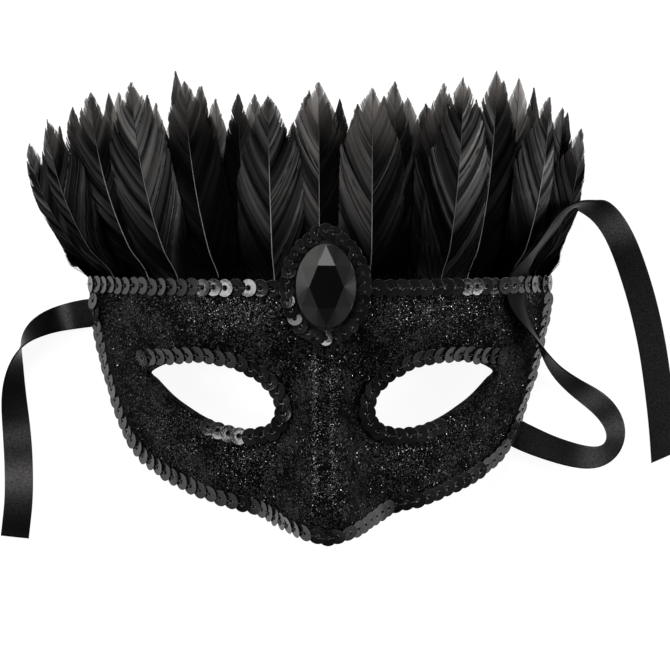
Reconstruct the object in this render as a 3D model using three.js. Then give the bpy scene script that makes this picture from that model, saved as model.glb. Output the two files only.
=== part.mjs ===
// A masquerade half mask, lying face up: a moulded shell covered in glitter fabric, strands of cup
// sequins along its edges, a faceted jewel, a crown of feathers and satin ribbon ties.
// Millimetres. +Z is up out of the face, +Y towards the feather tips, +X to the right as one looks at it.
import * as THREE from "three";
import { mergeVertices } from "three/addons/utils/BufferGeometryUtils.js";
import { ConvexGeometry } from "three/addons/geometries/ConvexGeometry.js";

// Driving sizes of the shell
const WALL = 2.0; // moulded shell with its fabric cover
const TOP_Y = 2.0; // the top edge; the top strand of sequins is centred on y = 0
const HALF_WIDTH = 82.5; // half the mask's width, temple to temple
const SIDE_LEAN = 0.07; // how fast the sides close in below the temple, per mm
const SIDE_CURVE = 0.003; // and how that grows, per mm squared
const FOOT_END_Y = -42; // the side edges lie on the table from the temple down to here
// Below that the arch closes in less than the edge does, so the edge rises.
const CHEEK = { lean: 0.08, ease: 6 };
const TEMPLE_SLOPE = THREE.MathUtils.degToRad(58.2); // steepness of the arch at the temple
const RIBBON_GAP = { y: -10, reach: 10, height: 2.2 }; // where a tie slips out under the side edge
// The sheet that the feathers follow. Its ends level out, so that every layer behind it clears the table.
const CROWN = {
  settle: 17, spread: 24, round: 1.5, lift: 6, leanBack: 0.1, level: 6, levelBy: 3, blend: 3,
};

// Driving sizes of the trimmings
const SEQUIN_RADIUS = 3.0;
const SEQUIN_PITCH = 4.0;
const SEQUIN_THICK = { middle: 1.3, between: 0.7 }; // of a strand, at a sequin's middle and between two
const WAIST = 0.74; // a strand's width between two sequins, as a share of the widest
const STRAND_LIFT = 0.65; // clearance between a strand and what it is sewn to
const JEWEL = { width: 20, height: 28, rise: 7, foot: 0.83, girdleFrom: 2.1, girdleTo: 2.6 };
const FACETS = { starSize: 0.95, starRise: 3.2, tableSize: 0.57, glue: 0.35 };
const BACKING_THICK = 1.2;
const FEATHER_THICK = 0.9;
const LAYER_STEP = 1.4; // distance between one layer of feathers and the next
const RIBBON = { width: 10, thick: 0.5 };

const FABRIC = { color: 0x0b0b0c, roughness: 0.6, metalness: 0.0 };
const SEQUIN = { color: 0x1c1c1e, roughness: 0.15, metalness: 0.3 };
const GEM = { color: 0x060607, roughness: 0.04, metalness: 0.0 };
const FELT = { color: 0x0a0a0a, roughness: 0.95, metalness: 0.0 };
const PLUME = { color: 0x141415, roughness: 0.5, metalness: 0.0 };
const SATIN = { color: 0x0c0c0d, roughness: 0.3, metalness: 0.0 };

const clamp01 = (t) => Math.min(1, Math.max(0, t));
const smooth = (t) => clamp01(t) * clamp01(t) * (3 - 2 * clamp01(t));
const mix = (a, b, t) => a + (b - a) * t;
const bell = (d, width) => Math.exp(-((d / width) * (d / width)));
const bump = (t) => (Math.abs(t) < 1 ? (1 - t * t) ** 2 : 0);

// The mask's surface

// Half the mask's width at height y: the sides close in below the temples.
const sideX = (y) => HALF_WIDTH - SIDE_LEAN * Math.abs(y) - SIDE_CURVE * y * y;
function footX(y) {
  if (y > FOOT_END_Y) return sideX(y);
  const down = FOOT_END_Y - y;
  const leanHere = SIDE_LEAN - 2 * SIDE_CURVE * FOOT_END_Y;
  const eased = CHEEK.ease * (1 - Math.exp(-down / CHEEK.ease));
  return sideX(FOOT_END_Y) - CHEEK.lean * down - (leanHere - CHEEK.lean) * eased;
}

// A circular arch's height at t, from 0 over its middle to 1 at its foot, for a half width of 1.
const SHELL_ROUND = 1 / Math.sin(TEMPLE_SLOPE);
const archRise = (t, round) =>
  Math.sqrt(round ** 2 - Math.min(t, round * 0.98) ** 2) - Math.sqrt(round ** 2 - 1);
const MIDDLE_HEIGHT = HALF_WIDTH * archRise(0, SHELL_ROUND);

const arch = (x, y) => footX(y) * archRise(Math.abs(x) / footX(y), SHELL_ROUND);

// Above the top edge the arch carries on as the crown of feathers, which spreads, flattens, lifts off the
// table at its ends and leans back a little over the middle.
function crown(x, y) {
  if (y < TOP_Y) return arch(x, y);
  const up = y - TOP_Y;
  const spread = 1 - Math.exp(-Math.pow(up / CROWN.settle, 1.6));
  const round = mix(SHELL_ROUND, CROWN.round, spread);
  const t = Math.abs(x) / (HALF_WIDTH + CROWN.spread * spread);
  const ends = CROWN.lift * spread;
  const rise = MIDDLE_HEIGHT - CROWN.leanBack * up - ends;
  const sheet = ends + rise * (archRise(t, round) / archRise(0, round));
  const begun = 1 - Math.exp(-up / CROWN.levelBy);
  const over = sheet - CROWN.level * begun;
  return CROWN.level * begun + 0.5 * (over + Math.hypot(over, CROWN.blend * begun));
}

// The nose stands on the arch, with a narrow flat back between two soft shoulders.
function nose(x, y) {
  const down = -y;
  const bridge = 9.5 * smooth((down - 16) / 26);
  const tip = 12.5 * smooth((down - 34) / 42) - 4 * smooth((down - 74) / 12);
  const ridge = 2.2 + 1.6 * smooth((down - 66) / 18);
  const base = 11 + 14 * smooth((down - 30) / 52);
  return (bridge + tip) * 0.5 * (1 + Math.cos(Math.PI * clamp01((Math.abs(x) - ridge) / (base - ridge))));
}

// Brow, eye socket and cheek, all fading out before the side edge.
function features(x, y) {
  const a = Math.abs(x);
  const brow = 1.8 * bell(y + 13, 8) * bell(a - 32, 26);
  const socket = -2.4 * bell(a - 36, 27) * bell(y + 37, 15);
  const cheek = 3.0 * bell(a - 32, 17) * bell(y + 64, 10);
  return (brow + socket + cheek) * (1 - smooth((a / footX(y) - 0.78) / 0.18)) * (1 - smooth((y + 9) / 8));
}

function height(x, y) {
  const edge = smooth((Math.abs(x) / footX(y) - 0.86) / 0.14);
  const gap = RIBBON_GAP.height * bump((y - RIBBON_GAP.y) / RIBBON_GAP.reach) * edge;
  return arch(x, y) + nose(x, y) + features(x, y) + gap;
}

function normalOf(surface, x, y) {
  const step = 0.05;
  const dx = (surface(x + step, y) - surface(x - step, y)) / (2 * step);
  const dy = (surface(x, y + step) - surface(x, y - step)) / (2 * step);
  return new THREE.Vector3(-dx, -dy, 1).normalize();
}

// A point at plan (x, y), raised off a surface along its normal.
function above(surface, x, y, lift) {
  return new THREE.Vector3(x, y, surface(x, y)).addScaledVector(normalOf(surface, x, y), lift);
}

// Outlines, as seen from the front

function spline(points, t, closed = false) {
  const n = points.length;
  const spans = closed ? n : n - 1;
  const at = Math.min(Math.max(t, 0), 1) * spans;
  const i = Math.min(Math.floor(at), spans - 1);
  const u = at - i;
  const pick = (k) => (closed ? points[(k + n) % n] : points[Math.min(Math.max(k, 0), n - 1)]);
  const [a, b, c, d] = [pick(i - 1), pick(i), pick(i + 1), pick(i + 2)];
  return b.map((_, k) => {
    const [pa, pb, pc, pd] = [a[k], b[k], c[k], d[k]];
    return 0.5 * (2 * pb + (pc - pa) * u + (2 * pa - 5 * pb + 4 * pc - pd) * u * u
      + (3 * pb - pa - 3 * pc + pd) * u * u * u);
  });
}

const EYE = [
  [60.4, -30.2], [52.5, -26.0], [42.0, -24.9], [31.0, -26.6], [22.0, -31.0], [16.4, -38.2],
  [17.0, -45.6], [24.5, -48.9], [36.5, -47.2], [50.0, -40.3], [58.0, -33.2],
];
const EYE_CENTRE = [36, -38.5];
const LOWER_RIM = [
  [sideX(FOOT_END_Y), FOOT_END_Y], [68.4, -56], [58.2, -65.2], [38.5, -73], [22, -77], [11.5, -81],
  [0, -83.6],
];

function sampled(curve, count) {
  return Array.from({ length: count + 1 }, (_, i) => curve(i / count));
}

// The right half's rim, from the temple corner down to the bottom of the nose.
function rim(t) {
  const sideShare = 0.36;
  if (t < sideShare) {
    const y = mix(TOP_Y, FOOT_END_Y, t / sideShare);
    return [sideX(y), y];
  }
  return spline(LOWER_RIM, (t - sideShare) / (1 - sideShare));
}

function evenly(points, count) {
  const along = [0];
  for (let i = 1; i < points.length; i++) {
    along.push(along[i - 1] + Math.hypot(...points[i].map((v, k) => v - points[i - 1][k])));
  }
  const total = along[along.length - 1];
  return Array.from({ length: count + 1 }, (_, n) => {
    const at = (n / count) * total;
    let i = 1;
    while (i < along.length - 1 && along[i] < at) i++;
    const u = (at - along[i - 1]) / (along[i] - along[i - 1]);
    return points[i].map((v, k) => mix(points[i - 1][k], v, u));
  });
}

const onSurface = (surface, plan) => plan.map(([x, y]) => [x, y, surface(x, y)]);

const lengthOf = (points) =>
  points.slice(1).reduce((sum, p, i) => sum + Math.hypot(...p.map((v, k) => v - points[i][k])), 0);

// Where the ray from the eye's centre towards a point crosses the edge of the eye hole.
function eyeTowards([px, py]) {
  const loop = sampled((t) => spline(EYE, t, true), 220);
  const aim = Math.atan2(py - EYE_CENTRE[1], px - EYE_CENTRE[0]);
  const turn = (p) => {
    const d = Math.atan2(p[1] - EYE_CENTRE[1], p[0] - EYE_CENTRE[0]) - aim;
    return Math.atan2(Math.sin(d), Math.cos(d));
  };
  for (let i = 0; i < loop.length - 1; i++) {
    const [a, b] = [turn(loop[i]), turn(loop[i + 1])];
    if (a * b <= 0 && Math.abs(a - b) < 1) {
      const u = a === b ? 0 : a / (a - b);
      return loop[i].map((v, k) => mix(v, loop[i + 1][k], u));
    }
  }
  throw new Error("the eye hole isn't all round its centre");
}

// Solids from rings and grids

function meshOf(name, geometry, look) {
  const bare = geometry.index ? geometry.toNonIndexed() : geometry;
  bare.deleteAttribute("normal");
  bare.deleteAttribute("uv");
  const merged = mergeVertices(bare, 1e-3);
  const p = merged.attributes.position;
  const index = merged.index.array;
  const corner = (i) => new THREE.Vector3().fromBufferAttribute(p, index[i]);
  let volume = 0;
  for (let i = 0; i < index.length; i += 3) {
    volume += corner(i).dot(corner(i + 1).cross(corner(i + 2)));
  }
  if (volume < 0) {
    for (let i = 0; i < index.length; i += 3) [index[i + 1], index[i + 2]] = [index[i + 2], index[i + 1]];
  }
  merged.computeVertexNormals();
  const mesh = new THREE.Mesh(merged, new THREE.MeshStandardMaterial(look));
  mesh.name = name;
  return mesh;
}

function geometryOf(points, faces) {
  const geometry = new THREE.BufferGeometry();
  const places = points.flatMap((p) => [p.x, p.y, p.z]);
  geometry.setAttribute("position", new THREE.Float32BufferAttribute(places, 3));
  geometry.setIndex(faces.flat());
  return geometry;
}

// A closed body through rings of equally many points; a closed loop joins its last ring to its first.
function loft(rings, loop = false) {
  const size = rings[0].length;
  const points = rings.flat();
  const faces = [];
  const spans = loop ? rings.length : rings.length - 1;
  for (let r = 0; r < spans; r++) {
    const [here, next] = [r * size, ((r + 1) % rings.length) * size];
    for (let i = 0; i < size; i++) {
      const j = (i + 1) % size;
      faces.push([here + i, next + i, next + j], [here + i, next + j, here + j]);
    }
  }
  if (!loop) {
    const last = (rings.length - 1) * size;
    for (let i = 1; i < size - 1; i++) {
      faces.push([0, i, i + 1], [last, last + i + 1, last + i]);
    }
  }
  return geometryOf(points, faces);
}

// The shell: its right half is a ring of cells from the eye hole out to the edge, and the left mirrors it.
function shellGeometry() {
  const rimCells = 30;
  const topCells = 12;
  const middleCells = 14;
  const steps = [0, 0.18, 0.37, 0.55, 0.72, 0.87, 1];
  const levels = steps.length - 1;
  const onFoot = ([x, y]) => [y > FOOT_END_Y ? sideX(y) : x, y];
  const edge = evenly(onSurface(height, sampled(rim, 200)), rimCells).map(onFoot).slice(0, -1);
  const bottom = [0, LOWER_RIM[LOWER_RIM.length - 1][1]];
  const middle = evenly([[0, TOP_Y], bottom], middleCells).slice(0, -1).reverse();
  const top = evenly([[0, TOP_Y], [sideX(TOP_Y), TOP_Y]], topCells).slice(1, -1);
  const outline = [bottom, ...middle, ...top, ...edge];
  const cells = outline.map((outer) => {
    const inner = eyeTowards(outer);
    return steps.map((u) => [mix(inner[0], outer[0], u), mix(inner[1], outer[1], u)]);
  });
  const points = [];
  const add = (p) => points.push(p) - 1;
  const faces = [];
  for (const side of [1, -1]) {
    const outside = [];
    const inside = [];
    for (const spoke of cells) {
      outside.push(spoke.map(([x, y]) => add(new THREE.Vector3(side * x, y, height(x, y)))));
      inside.push(spoke.map(([x, y], j) => {
        const normal = normalOf(height, x, y);
        const z = height(x, y);
        const across = normal.clone().setZ(0);
        const inward = normal.clone().multiplyScalar(-WALL);
        const onTable = j === levels && x > 1 ? 1 - smooth((z - 0.4) / 5) : 0;
        if (onTable > 0) inward.lerp(across.multiplyScalar(-WALL / across.lengthSq()), onTable);
        const p = new THREE.Vector3(x, y, z).add(inward);
        if (x < 1e-6) p.x = 0;
        return add(new THREE.Vector3(side * p.x, p.y, p.z));
      }));
    }
    const n = outline.length;
    const quad = (a, b, c, d) =>
      (side > 0 ? faces.push([a, b, c], [a, c, d]) : faces.push([a, c, b], [a, d, c]));
    for (let i = 0; i < n; i++) {
      const k = (i + 1) % n;
      for (let j = 0; j < levels; j++) {
        quad(outside[i][j], outside[i][j + 1], outside[k][j + 1], outside[k][j]);
        quad(inside[i][j], inside[k][j], inside[k][j + 1], inside[i][j + 1]);
      }
      quad(outside[i][0], outside[k][0], inside[k][0], inside[i][0]);
      const onMiddle = outline[i][0] === 0 && outline[k][0] === 0;
      if (!onMiddle) quad(outside[i][levels], inside[i][levels], inside[k][levels], outside[k][levels]);
    }
  }
  return geometryOf(points, faces);
}

// Strands of sequins

// Points with their surface normals, evenly spaced along a plan curve that lies on a surface.
function laid(surface, plan, step) {
  const fine = onSurface(surface, plan);
  const count = Math.max(2, Math.round(lengthOf(fine) / step));
  return evenly(fine, count).map(([x, y]) => ({
    at: new THREE.Vector3(x, y, surface(x, y)),
    up: normalOf(surface, x, y),
  }));
}

// One body of overlapping discs: wide and high at each sequin's middle, narrow and low between two.
function strand(surface, plan, { loop = false, raise = () => 0 } = {}) {
  const places = laid(surface, plan, SEQUIN_PITCH / 2);
  if (loop) places.pop();
  const rings = places.map(({ at, up }, i) => {
    const before = places[loop ? (i - 1 + places.length) % places.length : Math.max(i - 1, 0)].at;
    const after = places[loop ? (i + 1) % places.length : Math.min(i + 1, places.length - 1)].at;
    const side = new THREE.Vector3().crossVectors(after.clone().sub(before), up).normalize();
    const wide = i % 2 === 0;
    const half = SEQUIN_RADIUS * (wide ? 1 : WAIST);
    const [left, right] = [-half, half].map((across) => {
      const { x, y } = at.clone().addScaledVector(side, across);
      return above(surface, x, y, STRAND_LIFT + raise(at.x));
    });
    // Where the surface bulges under the strand, the strand lies on the bulge.
    const top = at.clone().addScaledVector(up, STRAND_LIFT + raise(at.x));
    const bulge = Math.max(0, top.sub(left.clone().lerp(right, 0.5)).dot(up));
    const thick = wide ? SEQUIN_THICK.middle : SEQUIN_THICK.between;
    return [[left, 0], [right, 0], [right, thick], [left, thick]].map(([corner, lift]) =>
      corner.clone().addScaledVector(up, bulge + lift));
  });
  return loft(rings, loop);
}

// A plan curve moved sideways by a distance that may change along it.
function moved(plan, distance) {
  return plan.map(([x, y], i) => {
    const [ax, ay] = plan[Math.max(i - 1, 0)];
    const [bx, by] = plan[Math.min(i + 1, plan.length - 1)];
    const long = Math.hypot(bx - ax, by - ay);
    const d = distance(i / (plan.length - 1));
    return [x - (d * (by - ay)) / long, y + (d * (bx - ax)) / long];
  });
}

const EDGE_INSET = 2.1; // from the shell's edge to the middle of the strand
function rimPlan() {
  // On the steep sides the strand keeps clear of the table.
  const right = sampled(rim, 120).filter(([, y]) => y < -4.4);
  const steep = (t) => EDGE_INSET - 0.1 * (1 - smooth((t - 0.32) / 0.2));
  const half = moved(right, (t) => -steep(t));
  const left = half.map(([x, y]) => [-x, y]).reverse();
  return [...half, ...left.slice(1)];
}

// The sequins start beside the eye hole's outer corner, and go over the hole's top and round to below it.
const EYE_STRAND = { from: 0.09, to: 0.75, inset: 1.9, lead: [[63.4, -25.4], [60.6, -24.4], [57.0, -23.9]] };
function eyePlan(side) {
  const { from, to, inset, lead } = EYE_STRAND;
  const round = sampled((t) => spline(EYE, mix(from, to, t), true), 90);
  return [...lead, ...moved(round, () => -inset)].map(([x, y]) => [side * x, y]);
}

// The oval of sequins round the jewel, drawn up to a point.
const RING = { halfWidth: 12.9, halfHeight: 17, y: 0.4, point: 1.8 };
function ringPlan(grow = 0, count = 96) {
  return sampled((t) => {
    const a = t * 2 * Math.PI + Math.PI / 2;
    const point = RING.point * bell(Math.cos(a), 0.35) * (Math.sin(a) > 0 ? 1 : 0);
    return [(RING.halfWidth + grow) * Math.cos(a), RING.y + (RING.halfHeight + grow + point) * Math.sin(a)];
  }, count);
}

// The jewel on its felt backing, above everything else at the middle of the brow

const backingBottom = height(0, RING.y - 12) + 1.6;
const backingTop = backingBottom + BACKING_THICK;
const jewelY = RING.y + 0.4;

function backingGeometry() {
  const outline = ringPlan(1.2, 40).slice(0, -1).map(([x, y]) => new THREE.Vector2(x, y));
  const patch = { depth: BACKING_THICK, bevelEnabled: false };
  return new THREE.ExtrudeGeometry(new THREE.Shape(outline), patch).translate(0, 0, backingBottom);
}

// Facets in a six-pointed star round a flat table. The stone sits on a thin bed of glue.
function jewelGeometry() {
  const ring = (count, start, size, z) =>
    Array.from({ length: count }, (_, i) => {
      const a = start + (i * 2 * Math.PI) / count;
      const [across, along] = [(JEWEL.width / 2) * size, (JEWEL.height / 2) * size];
      return new THREE.Vector3(across * Math.cos(a), along * Math.sin(a), z);
    });
  const points = [
    ...ring(24, 0, JEWEL.foot, 0),
    ...ring(24, 0, 1, JEWEL.girdleFrom),
    ...ring(24, 0, 1, JEWEL.girdleTo),
    ...ring(6, Math.PI / 6, FACETS.starSize, FACETS.starRise),
    ...ring(6, 0, FACETS.tableSize, JEWEL.rise),
  ];
  return new ConvexGeometry(points).translate(0, jewelY, backingTop + FACETS.glue);
}

// Feathers

// From left to right as seen from the front: a feather's tip, and its layer, where 0 is in front. The two
// front layers have few, broad feathers, and the two behind fill the crown between them.
const FEATHERS = [
  [-103, 49.5, 1], [-99, 55, 3], [-95.5, 57.5, 0], [-92.5, 55.5, 2], [-88.5, 62, 3], [-84.5, 61.5, 2],
  [-80.5, 66.5, 1], [-75.5, 66.5, 3], [-71, 66.5, 2], [-65.5, 69.5, 0], [-61.5, 65.5, 3], [-58, 62.5, 2],
  [-51.5, 73.5, 3], [-47.5, 69.5, 1], [-42, 68.5, 2], [-37.5, 64, 3], [-29.5, 65.5, 2], [-24, 65.5, 3],
  [-19, 64.5, 0], [-14, 55, 2], [-5.3, 67, 3], [-2, 69, 1], [1.2, 62.5, 2], [5.3, 64, 3],
  [11.2, 62, 2], [16, 67, 0], [20.8, 65, 3], [24, 69.5, 1], [28.8, 64.5, 2], [35.5, 62.5, 3],
  [41, 69, 1], [47.3, 71, 0], [53, 64, 2], [59.7, 74, 1], [63.6, 70.8, 3], [68.4, 71.5, 2],
  [75, 68.5, 3], [78.2, 65, 0], [85, 62, 2], [88, 60.5, 3], [91.3, 54.5, 1],
];
// How far a tip stands out past its quill, as a share of its distance from the middle.
const LEAN = { left: 0.26, right: 0.16, fullAt: 45 };
const BEND = -0.1; // how far the middle of a shaft bows outwards, as a share of its lean
const QUILL_Y = -4;
const QUILL_REACH = { left: 73.5, right: 77 }; // no quill is sewn in further out than this
const VANE = { widest: 11, atQuill: 0.38, fullAt: 0.36, tipFrom: 0.66, tipPower: 0.85, bluntness: 0.05 };
const TIP_THICKNESS = 0.7; // as a share of the feather's
// How much of the gap to the next feather of its layer a vane takes, on each side of its shaft.
const SHARE = { left: 0.58, right: 0.42 };
const VANE_CLEARANCE = 0.45;
const OUTER_HALF_WIDTH = 4.6; // on the free side of the outermost feathers
const FLARE_Y = [TOP_Y + 0.3, 8, 16, 29]; // heights of a feather's cross-sections where the crown flares
const TIP_SECTIONS = [VANE.tipFrom, 0.87, 1]; // and the places of those above them along its shaft
// The front layer lies under the shell's wall at first, and comes forward over these heights to a free depth.
const FORWARD = { from: 3, to: 13, depth: 0.7, clearance: 0.65 };

// How deep a layer lies behind the crown's face.
function layerDepth(layer, y) {
  const underShell = WALL + FORWARD.clearance + FEATHER_THICK / 2;
  const forward = smooth((y - FORWARD.from) / (FORWARD.to - FORWARD.from));
  return -mix(underShell, FORWARD.depth, forward) - LAYER_STEP * layer;
}

// A shaft in plan, from its quill at 0 to its tip at 1.
function shaft([tipX, tipY]) {
  const side = tipX < 0 ? "left" : "right";
  const lean = tipX * LEAN[side] * smooth(Math.abs(tipX) / LEAN.fullAt);
  const base = [Math.sign(tipX) * Math.min(Math.abs(tipX - lean), QUILL_REACH[side]), QUILL_Y];
  const bend = [tipX + BEND * lean, mix(QUILL_Y, tipY, 0.5)];
  const tip = [tipX, tipY];
  return (s) => tip.map((end, k) => (1 - s) ** 2 * base[k] + 2 * s * (1 - s) * bend[k] + s * s * end);
}

// Half the width of a vane at s, within its share of the gap to the next feather of its layer.
function vaneWidth(s, tip, next, share) {
  const [[x, y], [nx, ny]] = [shaft(tip)(s), shaft(next ?? tip)(s)];
  const gap = Math.hypot(nx - x, crown(nx, ny) - crown(x, y));
  const room = next ? share * gap - VANE_CLEARANCE : OUTER_HALF_WIDTH;
  const body = Math.min(VANE.widest, room) * mix(VANE.atQuill, 1, smooth(s / VANE.fullAt));
  const toTip = Math.max((1 - s) / (1 - VANE.tipFrom), VANE.bluntness);
  return body * (s > VANE.tipFrom ? Math.pow(toTip, VANE.tipPower) : 1);
}

function featherGeometry(feather, before, after) {
  const [, tipY, layer] = feather;
  const line = shaft(feather);
  const flare = FLARE_Y.map((y) => (y - QUILL_Y) / (tipY - QUILL_Y));
  const rings = [0, ...flare, ...TIP_SECTIONS].map((s) => {
    const [x, y] = line(s);
    const [ahead, behind] = [line(Math.min(s + 0.01, 1)), line(Math.max(s - 0.01, 0))];
    const long = Math.hypot(ahead[0] - behind[0], ahead[1] - behind[1]);
    const [sx, sy] = [(ahead[1] - behind[1]) / long, -(ahead[0] - behind[0]) / long];
    const place = (across, thick) => {
      // Across is a real distance along the arch, so it is shorter in plan where the arch is steep.
      const flat = across * Math.abs(normalOf(crown, x, y).z);
      const [px, py] = [x + sx * flat, y + sy * flat];
      return above(crown, px, py, layerDepth(layer, y) + thick);
    };
    const left = vaneWidth(s, feather, before, SHARE.left);
    const right = vaneWidth(s, feather, after, SHARE.right);
    const thick = (FEATHER_THICK / 2) * (s === 1 ? TIP_THICKNESS : 1);
    return [place(-left, 0), place(0, thick), place(right, 0), place(0, -thick)];
  });
  return loft(rings);
}

function feathers() {
  return FEATHERS.map((feather, i) => {
    const sameLayer = ([, , layer]) => layer === feather[2];
    const before = FEATHERS.slice(0, i).findLast(sameLayer);
    const after = FEATHERS.slice(i + 1).find(sameLayer);
    const name = `feather_${String(i + 1).padStart(2, "0")}`;
    return meshOf(name, featherGeometry(feather, before, after), PLUME);
  });
}

// Ribbon ties

// Each route is x, y, z of the ribbon's middle, and how far its left edge is turned up, in degrees: 0 and 180
// lie flat.
const LEFT_RIBBON = [
  [-66, -11, 14.3, -7], [-69, -10.9, 11, -7], [-72, -10.7, 7.4, -6], [-74.8, -10.4, 3.8, -4],
  [-77, -10.1, 1, -1], [-79.8, -10.1, 0.5, 0], [-82.8, -10.4, 0.7, 4], [-86.6, -11.1, 1.8, 17],
  [-91.1, -11.9, 2.75, 28], [-95.3, -12.9, 3.3, 35], [-99.1, -14.6, 3.8, 43], [-102.1, -16.5, 4.4, 53],
  [-104.5, -18.9, 5, 66], [-106.6, -22.4, 5.4, 87], [-107.5, -25.8, 5.3, 102], [-108.4, -30.4, 4.8, 118],
  [-108.9, -35.4, 4.2, 131], [-109, -41.2, 3.35, 144], [-108.5, -48.4, 2.6, 154],
  [-107.9, -59.2, 1.5, 167], [-107.8, -70.1, 0.6, 178], [-108.1, -79.1, 0.45, 180],
  [-108.9, -85.2, 0.45, 180], [-109.5, -90.6, 0.45, 180],
];
const RIGHT_RIBBON = [
  [66.5, -13.5, 13.2, 130], [66.9, -19.5, 11.8, 130], [67, -25.5, 10, 131], [66.6, -32.5, 7.2, 136],
  [65.2, -39.5, 3.8, 148], [63.4, -46, 1.6, 168], [65.6, -51.4, 0.6, 178], [71.4, -54.8, 1, 173],
  [78.5, -57.9, 2.6, 154], [85.7, -60.5, 3.1, 147], [92.9, -62.4, 3.6, 141], [97.8, -63, 4.1, 133],
  [101.3, -62.4, 4.7, 121], [103.7, -60.5, 5.2, 110], [105.5, -57.8, 5.1, 110], [106.1, -54.1, 4.7, 120],
  [104.9, -49.8, 4.2, 130], [102.1, -45.5, 3.8, 138], [98.1, -41.9, 3.65, 140], [93.3, -38.8, 4.2, 131],
  [88.3, -35.3, 5, 122], [84.3, -31.4, 6.2, 114], [81.1, -27.4, 9, 102], [77.7, -22.2, 12.2, 90],
  [74.1, -16.6, 15.4, 77], [70.8, -11.4, 17.9, 62], [68.2, -7.4, 19.4, 51], [66.6, -3.9, 20.1, 45],
  [66.5, -0.6, 20.1, 44], [67.2, 2.6, 19.8, 45], [69, 6, 21, 58], [71.4, 9.3, 22.7, 71],
  [75.4, 14.3, 23.3, 72], [79.3, 19.8, 23.2, 67], [82, 23.7, 23, 64], [84.4, 26.2, 22.7, 68],
  [87, 27.7, 21.9, 78], [89.8, 28.1, 20, 89], [93, 27.9, 16, 62], [97.7, 26.3, 11, 37],
  [103.1, 21.4, 6.5, 30], [108.1, 13.2, 3.2, 22], [112.5, 2, 1.6, 13], [116, -9.1, 0.7, 5],
  [119.1, -22.5, 0.45, 0], [121.4, -36.9, 0.45, 0], [123.2, -51.4, 0.45, 0], [124.3, -64.8, 0.45, 0],
];
const RIBBON_CROSSING = { x: 67.2, half: 5.2, ease: 3.4, raise: 1.15 }; // the band rises over the right tie

const overRibbon = (x) => {
  const { x: middle, half, ease, raise } = RIBBON_CROSSING;
  return raise * (1 - smooth((Math.abs(x - middle) - half) / ease));
};

function ribbonGeometry(route) {
  const fine = sampled((t) => spline(route, t), 400);
  const steps = Math.min(80, Math.round(lengthOf(fine) / 4));
  const line = evenly(fine.map(([x, y, z, tilt]) => [x, y, z, tilt / 100]), steps);
  const rings = line.map(([x, y, z, tilt], i) => {
    const [a, b] = [line[Math.max(i - 1, 0)], line[Math.min(i + 1, steps)]];
    const along = new THREE.Vector3(b[0] - a[0], b[1] - a[1], b[2] - a[2]).normalize();
    const flat = new THREE.Vector3(-along.y, along.x, 0).normalize();
    const across = flat.applyAxisAngle(along, THREE.MathUtils.degToRad(tilt * 100));
    const face = new THREE.Vector3().crossVectors(along, across);
    const [w, t] = [RIBBON.width / 2, RIBBON.thick / 2];
    return [[-w, -t], [w, -t], [w, t], [-w, t]].map(([p, q]) =>
      new THREE.Vector3(x, y, z).addScaledVector(across, p).addScaledVector(face, q));
  });
  return loft(rings);
}

// The whole mask

const onBacking = () => backingTop;
const topPlan = (side) => evenly([[side * (RING.halfWidth + 4.6), 0], [side * (HALF_WIDTH - 1.6), 0]], 60);

const face = new THREE.Group();
face.add(
  meshOf("mask_shell", shellGeometry(), FABRIC),
  meshOf("left_top_sequins", strand(height, topPlan(-1)), SEQUIN),
  meshOf("right_top_sequins", strand(height, topPlan(1), { raise: overRibbon }), SEQUIN),
  meshOf("rim_sequins", strand(height, rimPlan()), SEQUIN),
  meshOf("left_eye_sequins", strand(height, eyePlan(-1)), SEQUIN),
  meshOf("right_eye_sequins", strand(height, eyePlan(1)), SEQUIN),
  meshOf("jewel_backing", backingGeometry(), FELT),
  meshOf("jewel_sequins", strand(onBacking, ringPlan(), { loop: true }), SEQUIN),
  meshOf("jewel", jewelGeometry(), GEM),
  ...feathers(),
);

const ties = new THREE.Group();
ties.add(
  meshOf("left_ribbon", ribbonGeometry(LEFT_RIBBON), SATIN),
  meshOf("right_ribbon", ribbonGeometry(RIGHT_RIBBON), SATIN),
);

// The origin is on the table, under the middle of the mask and its feathers.
const reach = new THREE.Box3().setFromObject(face, true);
const middle = reach.getCenter(new THREE.Vector3());
const mask = new THREE.Group();
mask.add(face, ties);
mask.position.set(-middle.x, -middle.y, 0);

export default mask;
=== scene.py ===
"""A black masquerade half mask lying face up on a pale table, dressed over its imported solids.

Lengths are in millimetres in the mask's own frame until rowed() turns them into metres in the row's frame.
There x = 0 is the middle of the mask, y = 0 the middle of its top strand, and z = 0 the table.
"""
import math

import bmesh
import bpy
import numpy as np
from mathutils import Matrix, Vector


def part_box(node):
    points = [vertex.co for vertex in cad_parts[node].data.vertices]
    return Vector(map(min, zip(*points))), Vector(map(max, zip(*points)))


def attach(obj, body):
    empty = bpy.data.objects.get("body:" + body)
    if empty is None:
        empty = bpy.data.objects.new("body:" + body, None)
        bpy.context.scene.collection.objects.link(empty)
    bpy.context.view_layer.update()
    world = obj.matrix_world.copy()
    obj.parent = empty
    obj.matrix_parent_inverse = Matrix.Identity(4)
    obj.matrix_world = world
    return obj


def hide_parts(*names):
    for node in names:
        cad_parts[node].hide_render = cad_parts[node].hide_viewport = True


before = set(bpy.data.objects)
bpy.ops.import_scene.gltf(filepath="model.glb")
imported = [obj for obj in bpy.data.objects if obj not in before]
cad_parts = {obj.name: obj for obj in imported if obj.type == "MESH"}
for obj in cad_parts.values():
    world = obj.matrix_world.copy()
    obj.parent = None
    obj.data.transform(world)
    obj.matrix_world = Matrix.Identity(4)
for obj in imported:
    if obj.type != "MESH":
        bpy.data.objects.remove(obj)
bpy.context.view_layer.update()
MM = 0.001

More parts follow.
